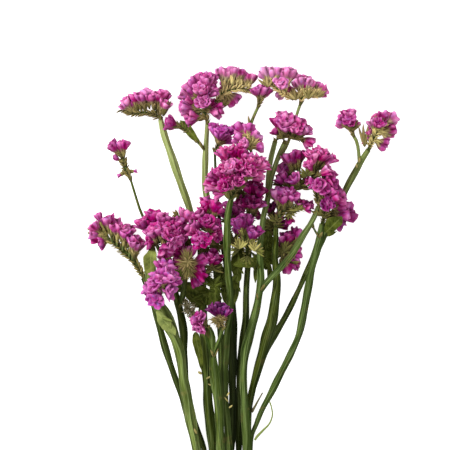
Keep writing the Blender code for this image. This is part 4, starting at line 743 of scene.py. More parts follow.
def winged(skin, path, flatness, look, seed, slot, spacing=0.003, lead=0.0, blunt=False, slim=1.0):
    """A winged stem along a path. lead carries it on past its first point, into what it meets."""
    dice = np.random.default_rng(seed)
    centres, widths, places = smooth_path(path, flatness, spacing)
    widths = widths * slim
    if lead:
        back = unit(centres[0] - centres[1])
        centres = np.vstack([centres[0] + back * lead, centres])
        widths = np.concatenate([[widths[0] * 0.9], widths])
        places = np.concatenate([[-lead], places])
    if blunt:
        # A second ring just before the cut end keeps its edge crisp
        near = centres[-1] + unit(centres[-2] - centres[-1]) * 0.0003
        centres = np.vstack([centres[:-1], near, centres[-1:]])
        widths = np.concatenate([widths[:-1], widths[-1:], widths[-1:]])
        places = np.concatenate([places[:-1], [places[-1] - 0.0003], places[-1:]])
    _, across, up = sides_along(centres)
    if blunt:
        across[-2:], up[-2:] = across[-3], up[-3]
    half = widths / 2
    wing = np.clip((widths * 1000 - 2.2) / 2.4, 0, 1)[:, None, None]
    turn = np.arctan2(WINGED[:, 1], WINGED[:, 0])
    plain = np.stack([np.cos(turn), 0.62 * np.sin(turn)], 1)
    shape = plain[None] * (1 - wing) + WINGED[None] * wing
    # Each wing widens and narrows, ripples, and the ridge above wanders
    waves = dice.uniform(0, 2 * pi, 12)
    s = places[:, None]
    x, y = shape[..., 0].copy(), shape[..., 1].copy()
    right = 1 + 0.10 * np.sin(s / 0.011 + waves[0]) + 0.07 * np.sin(s / 0.0047 + waves[1])
    left = 1 + 0.10 * np.sin(s / 0.013 + waves[2]) + 0.07 * np.sin(s / 0.0051 + waves[3])
    outer = np.clip((abs(x) - 0.45) / 0.55, 0, 1) * wing[..., 0]
    x *= 1 + outer * (np.where(x > 0, right, left) - 1)
    y += outer * (np.where(x > 0, np.sin(s / 0.016 + waves[4]), np.sin(s / 0.019 + waves[5])) * 0.20
                  + np.sin(s / 0.0042 + waves[6]) * 0.06) * abs(x)
    ridge = np.clip((abs(y) - 0.40) / 0.19, 0, 1) * (abs(x) < 0.3) * wing[..., 0]
    x += ridge * 0.30 * np.sin(s / 0.027 + waves[7]) + ridge * 0.10 * np.sin(s / 0.006 + waves[8])
    points = (centres[:, None] + across[:, None] * (x * half[:, None])[..., None]
              + up[:, None] * (y * half[:, None])[..., None])
    # From the tone of the low end to the tone up by the flowers
    upper = np.clip((centres[:, 1:2] - 0.010) / 0.150, 0, 1)
    tones = look[0] * (1 - upper) + (look[2] if len(look) > 2 else look[0]) * upper
    fact = np.stack([np.broadcast_to(tones, x.shape), np.full_like(x, look[1]),
                     np.clip(shape[..., 0], -1, 1)], 2)
    skin.grid(points, places * 100, fact, slot, bands=max(int(places[-1] / 0.07), 1))


def twig(skin, line, radii, tone, slot, sides=8):
    """A thin round stalk through a few points."""
    line, radii = np.array(line), np.array(radii)
    forward, across, up = sides_along(line)
    angle = np.linspace(0, 2 * pi, sides, endpoint=False)
    points = (line[:, None] + across[:, None] * (radii[:, None] * np.cos(angle))[..., None]
              + up[:, None] * (radii[:, None] * np.sin(angle))[..., None])
    places = np.concatenate([[0], np.cumsum(np.linalg.norm(np.diff(line, axis=0), axis=1))])
    skin.grid(points, places * 100, tone, slot)


def blade(skin, foot, way, face, length, width, thick, curl, cup, tone, slot, rings=8, sides=8,
          widest=0.4, ripple=0.0, seed=0):
    """A scale or a leaf from its foot: face is the side it shows, and it curls back from it."""
    dice = np.random.default_rng(seed)
    way, face = unit(way), unit(face - way * float(face @ way))
    aside = np.cross(way, face)
    s = np.linspace(0, 1, rings)
    swell = np.where(s < widest, 0.45 + 0.55 * np.sin(s / widest * pi / 2),
                     np.cos(np.clip((s - widest) / (1 - widest), 0, 1) * pi / 2) ** 0.8)
    swell = np.clip(swell, 0.04, 1) * width / 2
    centre = foot + way * (length * s)[:, None] - face * (curl * length * s ** 2)[:, None]
    angle = np.linspace(0, 2 * pi, sides, endpoint=False)
    x, y = np.cos(angle), np.sin(angle)
    rise = cup * swell[:, None] * x ** 2 + ripple * width * np.sin(s[:, None] * 17 + dice.uniform(0, 6)
                                                                   + x * 2) * abs(x) ** 2
    lift = rise + thick / 2 * y * (1 - 0.45 * abs(x))
    points = (centre[:, None] + aside * (swell[:, None] * x)[..., None] + face * lift[..., None])
    fact = np.stack([np.full_like(lift, tone[0]), np.full_like(lift, tone[1]),
                     np.broadcast_to(x, lift.shape)], 2)
    skin.grid(points, s, fact, slot)


# A papery flower from its foot to its rim, then over its folded top, as (height, radius): one
# that is nearly closed, and one that is wide open
CLOSED = np.array([(0, .085), (.12, .13), (.24, .19), (.34, .32), (.45, .54), (.57, .76), (.70, .92),
                   (.83, 1.0), (.94, .98), (.965, .86), (.91, .68), (.87, .50), (.89, .32), (.92, .14)])
OPEN = np.array([(0, .085), (.12, .13), (.26, .18), (.40, .27), (.54, .42), (.67, .60), (.80, .80),
                 (.91, .96), (1.0, 1.06), (.975, .95), (.86, .70), (.78, .48), (.74, .28), (.74, .11)])
RIM = 9


def flower(skin, foot, way, length, radius, tone, crumple, opened, dice, sides=21, tube=1.0):
    """One papery flower: a ribbed tube that swells into a pleated limb with a folded top."""
    first, second = square_to(way)
    opened = float(np.clip(opened + dice.uniform(-0.25, 0.25), 0, 1))
    profile = CLOSED * (1 - opened) + OPEN * opened
    heights, radii = profile[:, :1].copy(), profile[:, 1:].copy()
    inner = np.zeros_like(radii)
    inner[RIM:] = np.clip((1.08 - radii[RIM:]) * 2.2, 0, 1)
    limb = np.clip((CLOSED[:, :1] - 0.24) / 0.55, 0, 1)
    edge = np.clip((CLOSED[:, :1] - 0.45) / 0.5, 0, 1)
    edge[RIM:] = 1 - inner[RIM:] * 0.8
    angle = np.linspace(0, 2 * pi, sides, endpoint=False)[None] + dice.uniform(0, 2 * pi)
    phase = dice.uniform(0, 2 * pi, 12)
    lobes = int(dice.integers(3, 6))
    # Rounded pleats with sharp valleys between them, and finer ones over them
    pleat = (0.6 * (abs(np.cos(lobes * angle / 2 + phase[0])) - 0.64)
             + 0.2 * np.cos(lobes * angle + 2 * phase[0]))
    finer = abs(np.cos((lobes + 1) * angle + phase[1])) - 0.64
    skew = 1 + 0.22 * np.cos(angle + phase[2])
    across = radii * (1 + limb * ((0.17 * crumple * pleat + 0.05 * crumple * finer) * skew
                                  + dice.uniform(0.02, 0.16) * np.cos(2 * angle + phase[3]))
                      + (1 - limb) * 0.10 * np.cos(5 * angle))
    creases = int(dice.integers(4, 8))
    bend = dice.uniform(-0.5, 0.5) * radii + 0.5 * np.sin(angle + phase[8])
    fold = (0.95 * (abs(np.cos(creases * angle / 2 + bend + phase[7])) - 0.6)
            + 0.35 * (abs(np.cos((creases + 2) * angle / 2 + phase[8])) - 0.6)) * inner
    rise = (edge * crumple * (0.28 * pleat + 0.07 * finer)
            + limb * (dice.uniform(0.02, 0.14) * np.cos(2 * angle + phase[5])
                      + dice.uniform(0.0, 0.24) * np.cos(angle + phase[6])) * np.clip(radii, 0.3, 1)
            + fold * 0.30 * crumple)
    across = across * (1 + fold * 0.06)
    lean = dice.uniform(-0.18, 0.18, 2)
    x = (across * np.cos(angle) + limb * lean[0]) * radius
    y = (across * np.sin(angle) + limb * lean[1]) * radius
    z = heights * length + rise * radius
    points = foot + first * x[..., None] + second * y[..., None] + way * z[..., None]
    # Sharp small creases, as in crumpled paper
    crease = np.zeros_like(x)
    for k in range(3):
        line = unit(dice.normal(size=3))
        crease += 0.55 - abs(np.sin(points @ line * (pi / dice.uniform(0.0028, 0.0065)) + phase[9 + k]))
    outward = first * np.cos(angle)[..., None] + second * np.sin(angle)[..., None]
    push = outward * (1 - 0.7 * inner)[..., None] + way * (0.4 + 0.6 * inner)[..., None]
    points = points + push * (crease * limb * 0.00056 * crumple)[..., None]
    lengths = np.concatenate([(CLOSED[:RIM, 0] / 0.94) ** tube * 0.47, 1 - CLOSED[RIM:, 1] / 2])
    # How deep each point lies in a fold, from crests to valleys: the material paints shade down in the folds and a
    # highlight on the crests
    painted_fold_light = np.clip((pleat * 1.2 + finer * 0.3) * limb * (1 - inner) + fold * 0.95
                     + crease * 0.50 * limb, -1, 1)
    fact = np.stack([np.full_like(x, tone[0]), np.full_like(x, tone[1]), painted_fold_light], 2)
    skin.grid(points, lengths, fact, 0)


def scale_fan(skin, look, dice):
    """Bracts that fan out flat from one spot."""
    u, v, height, aim, spread, count, length, width, tone, green = look
    centre = at(u, v, height)
    for k in range(count):
        angle = (aim + spread * ((k + 0.5) / count - 0.5)) * pi / 180 + dice.uniform(-0.13, 0.13)
        way = np.array([cos(angle), sin(angle), dice.uniform(-0.30, 0.30)])
        blade(skin, centre + way * dice.uniform(-0.0004, 0.0008), way, np.array([0.0, 0.0, 1.0]),
              length / 1000 * dice.uniform(0.75, 1.12), width / 1000 * dice.uniform(0.8, 1.2), 0.00034,
              dice.uniform(-0.18, 0.18), -0.35, (tone + dice.uniform(-0.3, 0.3), green), 2, rings=7,
              sides=6, widest=0.35)


def cluster(skin, foot, tip, radius, look, dice):
    """One spikelet: a stalk, a cup of scales, and flowers whose tops fill the lump's end."""
    share, times, tone, hue, crumple, opened, scales, greenness, spikes, tube, laid = look
    if float(np.linalg.norm((tip - foot)[:2])) > 0.005:
        foot = foot + np.array([0.0, 0.0, float(tip[2] - foot[2]) * laid])
    way = tip - foot
    reach = float(np.linalg.norm(way))
    way = way / reach
    first, second = square_to(way)
    length = min(0.0142, reach * 0.97)
    base = tip - way * length
    if radius < 0.0028:
        # A bud in its bracts
        for k in range(4):
            aside = first * cos(k * 1.6) + second * sin(k * 1.6)
            blade(skin, foot, way + aside * dice.uniform(0.1, 0.5), aside, reach * dice.uniform(0.7, 1.1),
                  radius * 1.5, 0.0004, 0.1, -0.4, (scales + dice.uniform(-0.2, 0.4), greenness), 2)
        flower(skin, foot + way * reach * 0.35, way, reach * 0.75, radius * 0.75, (tone, hue - 0.5), 1.0,
               0.1, dice, 16)
        return
    usual = 2 if radius < 0.0046 else 3 if radius < 0.0064 else 4
    count = max(int(round(usual * times)), 1)
    size = radius * share * (1.08 if count <= 2 else 1.0 if count == 3 else 0.92 if count == 4 else 0.86)
    stalk = 0.0006 + 0.05 * radius
    line = [foot - way * 0.0006, foot + (base - foot) * 0.5 + first * 0.0004, base, base + way * 0.0022]
    twig(skin, line, [stalk * 1.1, stalk, stalk * 1.4, stalk], (scales * 0.5 - 0.2, 0.3, 0.0), 1)
    spin = dice.uniform(0, 2 * pi)
    flower_tone = tone + dice.uniform(-0.24, 0.24)
    for k in range(count):
        middle = count >= 4 and k == 0
        angle = spin + 2 * pi * k / (count - (count >= 4)) + dice.uniform(-0.3, 0.3)
        out = 0.0 if middle else radius * (0.46 if count <= 4 else 0.62)
        aside = first * cos(angle) + second * sin(angle)
        end = tip + aside * out * dice.uniform(0.85, 1.2) + way * dice.uniform(-0.0014, 0.0018)
        start = base + aside * (0.0 if middle else 0.0012) + way * dice.uniform(-0.0004, 0.0012)
        direction = unit(end - start)
        flower(skin, start, direction, float(np.linalg.norm(end - start)) * dice.uniform(0.98, 1.08),
               size * dice.uniform(0.88, 1.16),
               (flower_tone + dice.uniform(-0.42, 0.42), hue + dice.uniform(-0.45, 0.45)), crumple,
               opened, dice, tube=tube)
    # Scales in a cup round the foot of the flowers, wide ones outside
    for k in range(6):
        angle = spin + 2 * pi * k / 6 + dice.uniform(-0.3, 0.3)
        aside = first * cos(angle) + second * sin(angle)
        long = length * dice.uniform(0.46, 0.66)
        blade(skin, base - way * 0.0018 + aside * 0.0005, way + aside * dice.uniform(0.20, 0.32), aside,
              long, radius * dice.uniform(0.60, 0.95), 0.00036, dice.uniform(-0.10, 0.02), -0.45,
              (scales + dice.uniform(-0.45, 0.45), greenness + dice.uniform(-0.3, 0.3)), 2, rings=6,
              sides=6, widest=0.55)
    # Narrow scales that stand away from the rest
    for k in range(2 + spikes):
        angle = dice.uniform(0, 2 * pi)
        aside = first * cos(angle) + second * sin(angle)
        blade(skin, base - way * dice.uniform(0.0005, 0.002), way + aside * dice.uniform(0.30, 0.75),
              aside, length * dice.uniform(0.45, 0.72), 0.0017, 0.0003, dice.uniform(-0.15, 0.2), -0.2,
              (scales + dice.uniform(-0.2, 0.5), greenness + dice.uniform(-0.2, 0.3)), 2, rings=6,
              sides=6, widest=0.3)
    # Scales that wrap the stalk down to the axis
    clothed = reach - length
    for k in range(min(int(clothed / 0.0022) + 1, 7)):
        angle = spin + pi * k * 0.92 + dice.uniform(-0.5, 0.5)
        aside = first * cos(angle) + second * sin(angle)
        spot = foot + (base - foot) * min((k * 0.0022 + 0.0004) / max(clothed, 0.0005), 1.0)
        blade(skin, spot + aside * stalk * 0.5, way + aside * dice.uniform(0.22, 0.42), aside,
              0.0062 * dice.uniform(0.8, 1.2), 0.0036, 0.0003, 0.0, -0.4,
              (scales + dice.uniform(-0.5, 0.25), greenness), 2, rings=5, sides=6, widest=0.5)


def head(name, axis, lumps, materials):
    """A flower head: its winged axis, a spikelet for each of its lumps, and what is between them."""
    look = LOOK[name] + (TUBE.get(name, 1.0), LAID.get(name, 0.0))
    share, times, tone, hue, crumple, opened, scales, greenness, spikes, tube, laid = look
    seed = sum(ord(letter) * (i + 3) for i, letter in enumerate(name))
    dice = np.random.default_rng(seed)
    skin = Skin()
    winged(skin, axis, 0.42, (-0.45 + 0.3 * scales, 0.4), seed, 1, spacing=0.0022, lead=0.0024, slim=0.8)
    feet, tips, radii = [], [], []
    for i, (place, u, v, height, radius) in enumerate(lumps):
        foot = along(axis, min(place + 0.02 * i, len(axis) - 1.12))
        tip = at(u, v, height)
        cluster(skin, foot, tip, radius / 1000, look, dice)
        if radius > 2.8:
            feet.append(foot)
            tips.append(tip)
            radii.append(radius / 1000)
    # Lower flowers between neighbouring spikelets, their tone set darker on the whole as painted shade down
    # between the spikelets
    pairs = []
    for i in range(len(tips)):
        for j in range(i + 1, len(tips)):
            apart = float(np.linalg.norm(tips[i] - tips[j])) / (radii[i] + radii[j])
            if 0.55 < apart < 1.30:
                pairs.append((apart, i, j))
    for apart, i, j in sorted(pairs)[:int(len(tips) * 1.15)]:
        share_i = dice.uniform(0.4, 0.6)
        tip = tips[i] * share_i + tips[j] * (1 - share_i)
        foot = feet[i] * share_i + feet[j] * (1 - share_i)
        way = unit(tip - foot)
        tip = tip - way * dice.uniform(0.0008, 0.0030)
        length = min(0.0125, float(np.linalg.norm(tip - foot)))
        base = tip - way * length
        flower(skin, base, way, length, (radii[i] + radii[j]) / 2 * share * dice.uniform(0.72, 0.95),
               (tone + dice.uniform(-0.6, 0.15), hue + dice.uniform(-0.5, 0.4)), crumple, opened, dice, 17,
               tube)
        first, second = square_to(way)
        for k in range(4):
            angle = dice.uniform(0, 2 * pi)
            aside = first * cos(angle) + second * sin(angle)
            blade(skin, base - way * 0.001, way + aside * dice.uniform(0.2, 0.5), aside,
                  length * dice.uniform(0.45, 0.72), 0.0030, 0.00034, dice.uniform(-0.1, 0.1), -0.4,
                  (scales + dice.uniform(-0.5, 0.3), greenness), 2, rings=5, sides=6, widest=0.5)
    # Scales that clothe the axis
    centres, widths, places = smooth_path(axis, 0.42, 0.0024)
    forward, across, up = sides_along(centres)
    for k in range(len(centres)):
        for side in (1, -1):
            angle = dice.uniform(-0.9, 0.9)
            aside = across[k] * side * cos(angle) + up[k] * (0.35 + 0.65 * sin(abs(angle)))
            blade(skin, centres[k] + aside * widths[k] * 0.25, unit(forward[k] * 0.7 + aside * 0.55), aside,
                  0.0058 * dice.uniform(0.7, 1.2), 0.0030 * dice.uniform(0.8, 1.3), 0.0003,
                  dice.uniform(-0.1, 0.2), -0.4, (scales + dice.uniform(-0.5, 0.3), greenness), 2,
                  rings=5, sides=6, widest=0.45)
    for fan in FANS.get(name, []):
        scale_fan(skin, fan, dice)
    return skin.make(name + "_flowers", materials)


def leaf(skin, path, look, seed, thick=0.0005, slot=0, fold=0.20, ripple=0.09):
    """A leaf along a path: midrib low, its halves raised, its edge ragged, and loose blades by it."""
    tone, hue, ragged, loose = look
    dice = np.random.default_rng(seed)
    centres, widths, places = smooth_path(path, 0.1, 0.0012)
    forward, across, up = sides_along(centres)
    half = widths / 2
    end = places[-1]
    half *= np.clip((end - places) / 0.004, 0.05, 1) ** 0.6 * np.clip((places + 0.001) / 0.003, 0.3, 1)
    sides = 20
    angle = np.linspace(0, 2 * pi, sides, endpoint=False)
    x, y = np.cos(angle), np.sin(angle)
    s = places[:, None]
    wave = dice.uniform(0, 2 * pi, 8)
    teeth = np.where(x > 0, abs(np.sin(s / 0.0031 + wave[0])), abs(np.sin(s / 0.0037 + wave[1]))) - 0.64
    bays = np.where(x > 0, np.sin(s / 0.0046 + wave[4]), np.sin(s / 0.0055 + wave[5]))
    grown = 1 + ragged * (0.12 * teeth + 0.14 * bays) * abs(x) ** 2
    rise = (fold * abs(x) - 0.05 + ripple * (1 + ragged) * bays * abs(x) ** 2
            + 0.10 * np.where(x > 0, np.sin(s / 0.0060 + wave[2]), np.sin(s / 0.0052 + wave[3])) * abs(x))
    rise = rise * half[:, None] + thick / 2 * y * (1 - 0.5 * abs(x)) * (1 + 0.8 * np.exp(-(x / 0.15) ** 2))
    points = (centres[:, None] + across[:, None] * (x * grown * half[:, None])[..., None]
              + up[:, None] * rise[..., None])
    fact = np.stack([np.full_like(rise, tone), np.full_like(rise, hue),
                     np.broadcast_to(x, rise.shape)], 2)
    skin.grid(points, places * 100, fact, slot)
    for k in range(loose):
        i = int(len(centres) * dice.uniform(0.1, 0.9))
        side = 1 if k % 2 else -1
        way = unit(forward[i] * dice.uniform(-1.0, 1.0) + across[i] * side * dice.uniform(0.3, 1.0)
                   + up[i] * dice.uniform(0.0, 0.4))
        blade(skin, centres[i] + up[i] * 0.0003, way, up[i], dice.uniform(0.007, 0.012),
              dice.uniform(0.0022, 0.0040), 0.0004, dice.uniform(-0.1, 0.2), -0.35,
              (tone + dice.uniform(-0.3, 0.4), hue), slot, rings=8, sides=8, widest=0.35)


def withered(skin, path, seed):
    """A dried calyx: a loose star of narrow curled blades along a path."""
    dice = np.random.default_rng(seed)
    centres, widths, places = smooth_path(path, 0.3, 0.0008)
    forward, across, up = sides_along(centres)
    for k in range(84):
        i = int(dice.integers(0, len(centres)))
        angle = dice.uniform(0, 2 * pi)
        way = unit(across[i] * cos(angle) + up[i] * 0.6 * sin(angle) + forward[i] * dice.uniform(-0.9, 0.6))
        blade(skin, centres[i], way, unit(up[i] + across[i] * 0.2), widths[i] * dice.uniform(0.45, 0.75),
              0.0015, 0.0003, dice.uniform(-0.3, 0.4), -0.3, (dice.uniform(-0.3, 1.1), 0.2), 0,
              rings=6, sides=6, widest=0.4)


class Nodes:
    """A material's node tree, with short calls for adding nodes and links."""

    def __init__(self, name, roughness, sheen=0.0, specular=0.5, subsurface=0.0):
        self.material = bpy.data.materials.new(name)
        self.material.use_nodes = True
        self.tree = self.material.node_tree
        self.shader = self.tree.nodes["Principled BSDF"]
        self.shader.inputs["Roughness"].default_value = roughness
        self.shader.inputs["Specular IOR Level"].default_value = specular
        self.shader.inputs["Sheen Weight"].default_value = sheen
        self.shader.inputs["Sheen Roughness"].default_value = 0.5

    def add(self, kind, settings=None, **inputs):
        node = self.tree.nodes.new(kind)
        for key, value in (settings or {}).items():
            setattr(node, key, value)
        for key, value in inputs.items():
            socket = node.inputs[int(key[1:])] if key[0] == "i" and key[1:].isdigit() else node.inputs[key]
            if isinstance(value, bpy.types.NodeSocket):
                self.tree.links.new(value, socket)
            else:
                socket.default_value = value
        return node

    def math(self, operation, first, second=0.0, third=0.0, clamp=False):
        node = self.add("ShaderNodeMath", {"operation": operation, "use_clamp": clamp})
        for i, value in enumerate((first, second, third)):
            if isinstance(value, bpy.types.NodeSocket):
                self.tree.links.new(value, node.inputs[i])
            else:
                node.inputs[i].default_value = value
        return node.outputs[0]

    def mix(self, amount, first, second, blend="MIX"):
        node = self.tree.nodes.new("ShaderNodeMix")
        node.data_type = "RGBA"
        node.blend_type = blend
        for socket, value in ((node.inputs[0], amount), (node.inputs[6], first), (node.inputs[7], second)):
            if isinstance(value, bpy.types.NodeSocket):
                self.tree.links.new(value, socket)
            elif socket == node.inputs[0]:
                socket.default_value = value
            else:
                socket.default_value = (*value, 1)
        return node.outputs[2]

    def ramp(self, factor, stops, interpolation="LINEAR"):
        node = self.add("ShaderNodeValToRGB", i0=factor)
        node.color_ramp.interpolation = interpolation
        elements = node.color_ramp.elements
        while len(elements) < len(stops):
            elements.new(0.5)
        for element, (place, colour) in zip(elements, stops):
            element.position = place
        for element, (place, colour) in zip(elements, stops):
            element.position = place
            element.color = (*colour, 1) if len(colour) == 3 else colour
        return node.outputs["Color"]

    def noise(self, vector, scale, detail=3.0, roughness=0.55, distortion=0.0):
        node = self.add("ShaderNodeTexNoise", i0=vector)
        node.inputs["Scale"].default_value = scale
        node.inputs["Detail"].default_value = detail
        node.inputs["Roughness"].default_value = roughness
        node.inputs["Distortion"].default_value = distortion
        return node.outputs[0]

    def range(self, value, low, high, to_low=0.0, to_high=1.0):
        node = self.add("ShaderNodeMapRange", {"clamp": True})
        self.tree.links.new(value, node.inputs["Value"])
        for key, number in (("From Min", low), ("From Max", high), ("To Min", to_low), ("To Max", to_high)):
            node.inputs[key].default_value = number
        return node.outputs[0]

    def start(self):
        """The pattern's two numbers, the point's three facts and the place in the object."""
        pattern = self.add("ShaderNodeUVMap", {"uv_map": "pattern"}).outputs[0]
        split = self.add("ShaderNodeSeparateXYZ", i0=pattern)
        fact = self.add("ShaderNodeAttribute", {"attribute_name": "fact"}).outputs["Vector"]
        facts = self.add("ShaderNodeSeparateXYZ", i0=fact)
        place = self.add("ShaderNodeTexCoord").outputs["Object"]
        return split.outputs[0], split.outputs[1], facts.outputs[0], facts.outputs[1], facts.outputs[2], place

    def vector(self, x, y, z):
        node = self.tree.nodes.new("ShaderNodeCombineXYZ")
        for i, value in enumerate((x, y, z)):
            if isinstance(value, bpy.types.NodeSocket):
                self.tree.links.new(value, node.inputs[i])
            else:
                node.inputs[i].default_value = value
        return node.outputs[0]

    def finish(self, colour, rough=None, height=None, strength=0.5, distance=0.0003):
        self.tree.links.new(colour, self.shader.inputs["Base Color"])
        if rough is not None:
            self.tree.links.new(rough, self.shader.inputs["Roughness"])
        if height is not None:
            bump = self.add("ShaderNodeBump", Strength=strength, Distance=distance, Height=height)
            self.tree.links.new(bump.outputs[0], self.shader.inputs["Normal"])
        return self.material


def petal_material():
    n = Nodes("statice_petal", 0.65, specular=0.06)
    around, up, tone, hue, painted_fold_light, place = n.start()
    patch = n.noise(place, 330, 3)
    fine = n.noise(place, 1500, 3)
    shifted = n.math("ADD", up, n.math("MULTIPLY", n.math("SUBTRACT", patch, 0.5), 0.13))
    # The flower's colour from its foot over the rim to the middle of its top: a green tube, then pink that is
    # darker low on the limb and towards the middle of the top as painted shade, and lightest at the rim, where the
    # thin paper is paler and a painted highlight lies on it
    base = n.ramp(shifted, [
        (0.00, (0.100, 0.100, 0.020)), (0.08, (0.240, 0.200, 0.070)), (0.13, (0.270, 0.150, 0.110)),
        (0.18, (0.290, 0.055, 0.140)), (0.25, (0.360, 0.032, 0.175)), (0.34, (0.500, 0.065, 0.280)),
        (0.47, (0.640, 0.160, 0.420)), (0.54, (0.560, 0.090, 0.340)), (0.64, (0.470, 0.042, 0.250)),
        (0.82, (0.350, 0.016, 0.165)), (1.00, (0.190, 0.004, 0.075))])
    # Ribs on the tube, lighter than what is between them
    rib = n.math("MULTIPLY_ADD", n.math("COSINE", n.math("MULTIPLY", around, 2 * pi * 5)), 0.5, 0.5)
    tube = n.mix(rib, (0.075, 0.065, 0.014), (0.420, 0.340, 0.160))
    base = n.mix(n.math("MULTIPLY", n.range(up, 0.18, 0.10), 0.75), base, tube)
    # Lilac and deep rose blotches
    lilac = n.math("MULTIPLY", n.range(patch, 0.53, 0.70), n.range(up, 0.16, 0.24))
    much = n.math("MULTIPLY_ADD", n.math("MINIMUM", hue, 0.0), -0.34, 0.58)
    base = n.mix(n.math("MULTIPLY", lilac, much), base, (0.300, 0.130, 0.460))
    rose = n.math("MULTIPLY", n.range(n.noise(place, 210, 2), 0.50, 0.68), n.range(up, 0.18, 0.28))
    base = n.mix(n.math("MULTIPLY", rose, 0.50), base, (0.360, 0.008, 0.140))
    # Fine veins that run up the limb
    streak = n.noise(n.vector(n.math("MULTIPLY", around, 30), n.math("MULTIPLY", up, 5),
                              n.math("MULTIPLY", tone, 9.0)), 1.0, 3)
    base = n.mix(n.range(streak, 0.38, 0.7, 0.0, 0.45), base, (0.330, 0.020, 0.170), "MULTIPLY")
    pale = n.math("MULTIPLY", n.range(streak, 0.50, 0.72), 0.32)
    base = n.mix(n.math("MULTIPLY", pale, n.range(up, 0.22, 0.36)), base, (0.720, 0.350, 0.590))
    # Painted shade down in the folds and a painted highlight on their crests
    base = n.mix(n.range(painted_fold_light, 0.0, -0.75, 0.0, 0.90), base, (0.090, 0.001, 0.032))
    base = n.mix(n.range(painted_fold_light, 0.15, 0.70, 0.0, 0.50), base, (0.690, 0.280, 0.510))
    shade = n.add("ShaderNodeHueSaturation", Color=base)
    n.tree.links.new(n.math("MULTIPLY_ADD", hue, 0.028, 0.5), shade.inputs["Hue"])
    vivid = n.math("MULTIPLY", n.math("MAXIMUM", hue, 0.0), 0.22)
    strong = n.math("MULTIPLY_ADD", n.math("MAXIMUM", tone, 0.0), -0.24, 1.03)
    strong = n.math("MULTIPLY_ADD", n.math("MINIMUM", tone, 0.0), -0.04, strong)
    n.tree.links.new(n.math("ADD", strong, vivid), shade.inputs["Saturation"])
    n.tree.links.new(n.math("MULTIPLY_ADD", tone, 0.52, 0.96), shade.inputs["Value"])
    height = n.math("ADD", n.math("MULTIPLY", streak, 0.6), n.math("MULTIPLY", fine, 0.5))
    rough = n.range(fine, 0.3, 0.7, 0.50, 0.72)
    return n.finish(shade.outputs[0], rough, height, 0.55, 0.0004)


def stem_material():
    n = Nodes("statice_stem", 0.55, specular=0.05)
    around, length, tone, hue, across, place = n.start()
    streak = n.noise(n.vector(n.math("MULTIPLY", around, 34), n.math("MULTIPLY", length, 0.40),
                              n.math("MULTIPLY", tone, 7.0)), 1.0, 4)
    band = n.noise(n.vector(n.math("MULTIPLY", around, 9), n.math("MULTIPLY", length, 0.16),
                            n.math("MULTIPLY", tone, 11.0)), 1.0, 2)
    band = n.range(band, 0.34, 0.66)
    cloud = n.noise(place, 38, 3)
    sage = n.mix(band, (0.014, 0.036, 0.005), (0.118, 0.178, 0.062))
    olive = n.mix(band, (0.018, 0.026, 0.001), (0.110, 0.132, 0.014))
    base = n.mix(n.math("MULTIPLY_ADD", hue, 0.5, 0.5, clamp=True), sage, olive)
    base = n.mix(n.range(cloud, 0.35, 0.65, 0.0, 0.40), base, (0.050, 0.075, 0.008))
    # Painted shade towards the sides of the stem, lighter at the very wing edges, and a painted highlight along
    # the ridge
    side = n.math("ABSOLUTE", across)
    base = n.mix(n.math("MULTIPLY", n.range(side, 0.45, 0.80), 0.60), base, (0.008, 0.014, 0.001))
    base = n.mix(n.math("MULTIPLY", n.range(side, 0.90, 0.99), 0.60), base, (0.150, 0.198, 0.072))
    base = n.mix(n.math("MULTIPLY", n.range(side, 0.12, 0.02), 0.35), base, (0.200, 0.258, 0.110))
    base = n.mix(n.range(streak, 0.50, 0.70, 0.0, 0.65), base, (0.200, 0.258, 0.098))
    base = n.mix(n.range(streak, 0.50, 0.32, 0.0, 0.78), base, (0.004, 0.010, 0.001))
    # Painted shade on the wing of one side, as if it turned away from the light
    base = n.mix(n.range(across, -0.04, -0.40, 0.0, 0.50), base, (0.010, 0.022, 0.002))
    dry = n.math("MULTIPLY", n.range(n.noise(place, 95, 3), 0.60, 0.74), 0.5)
    base = n.mix(dry, base, (0.130, 0.095, 0.035))
    pale = n.mix(n.range(streak, 0.38, 0.62), (0.170, 0.195, 0.060), (0.330, 0.370, 0.170))
    base = n.mix(n.range(tone, 0.55, 1.7, 0.0, 0.80), base, pale)
    shade = n.add("ShaderNodeHueSaturation", Color=base)
    low_tone = n.math("MINIMUM", tone, 0.7)
    shade.inputs["Saturation"].default_value = 1.06
    n.tree.links.new(n.math("MULTIPLY_ADD", low_tone, 0.64, 0.98), shade.inputs["Value"])
    fine = n.noise(place, 1300, 2)
    height = n.math("ADD", streak, n.math("MULTIPLY", fine, 0.3))
    return n.finish(shade.outputs[0], n.range(streak, 0.3, 0.7, 0.58, 0.42), height, 0.6, 0.0005)


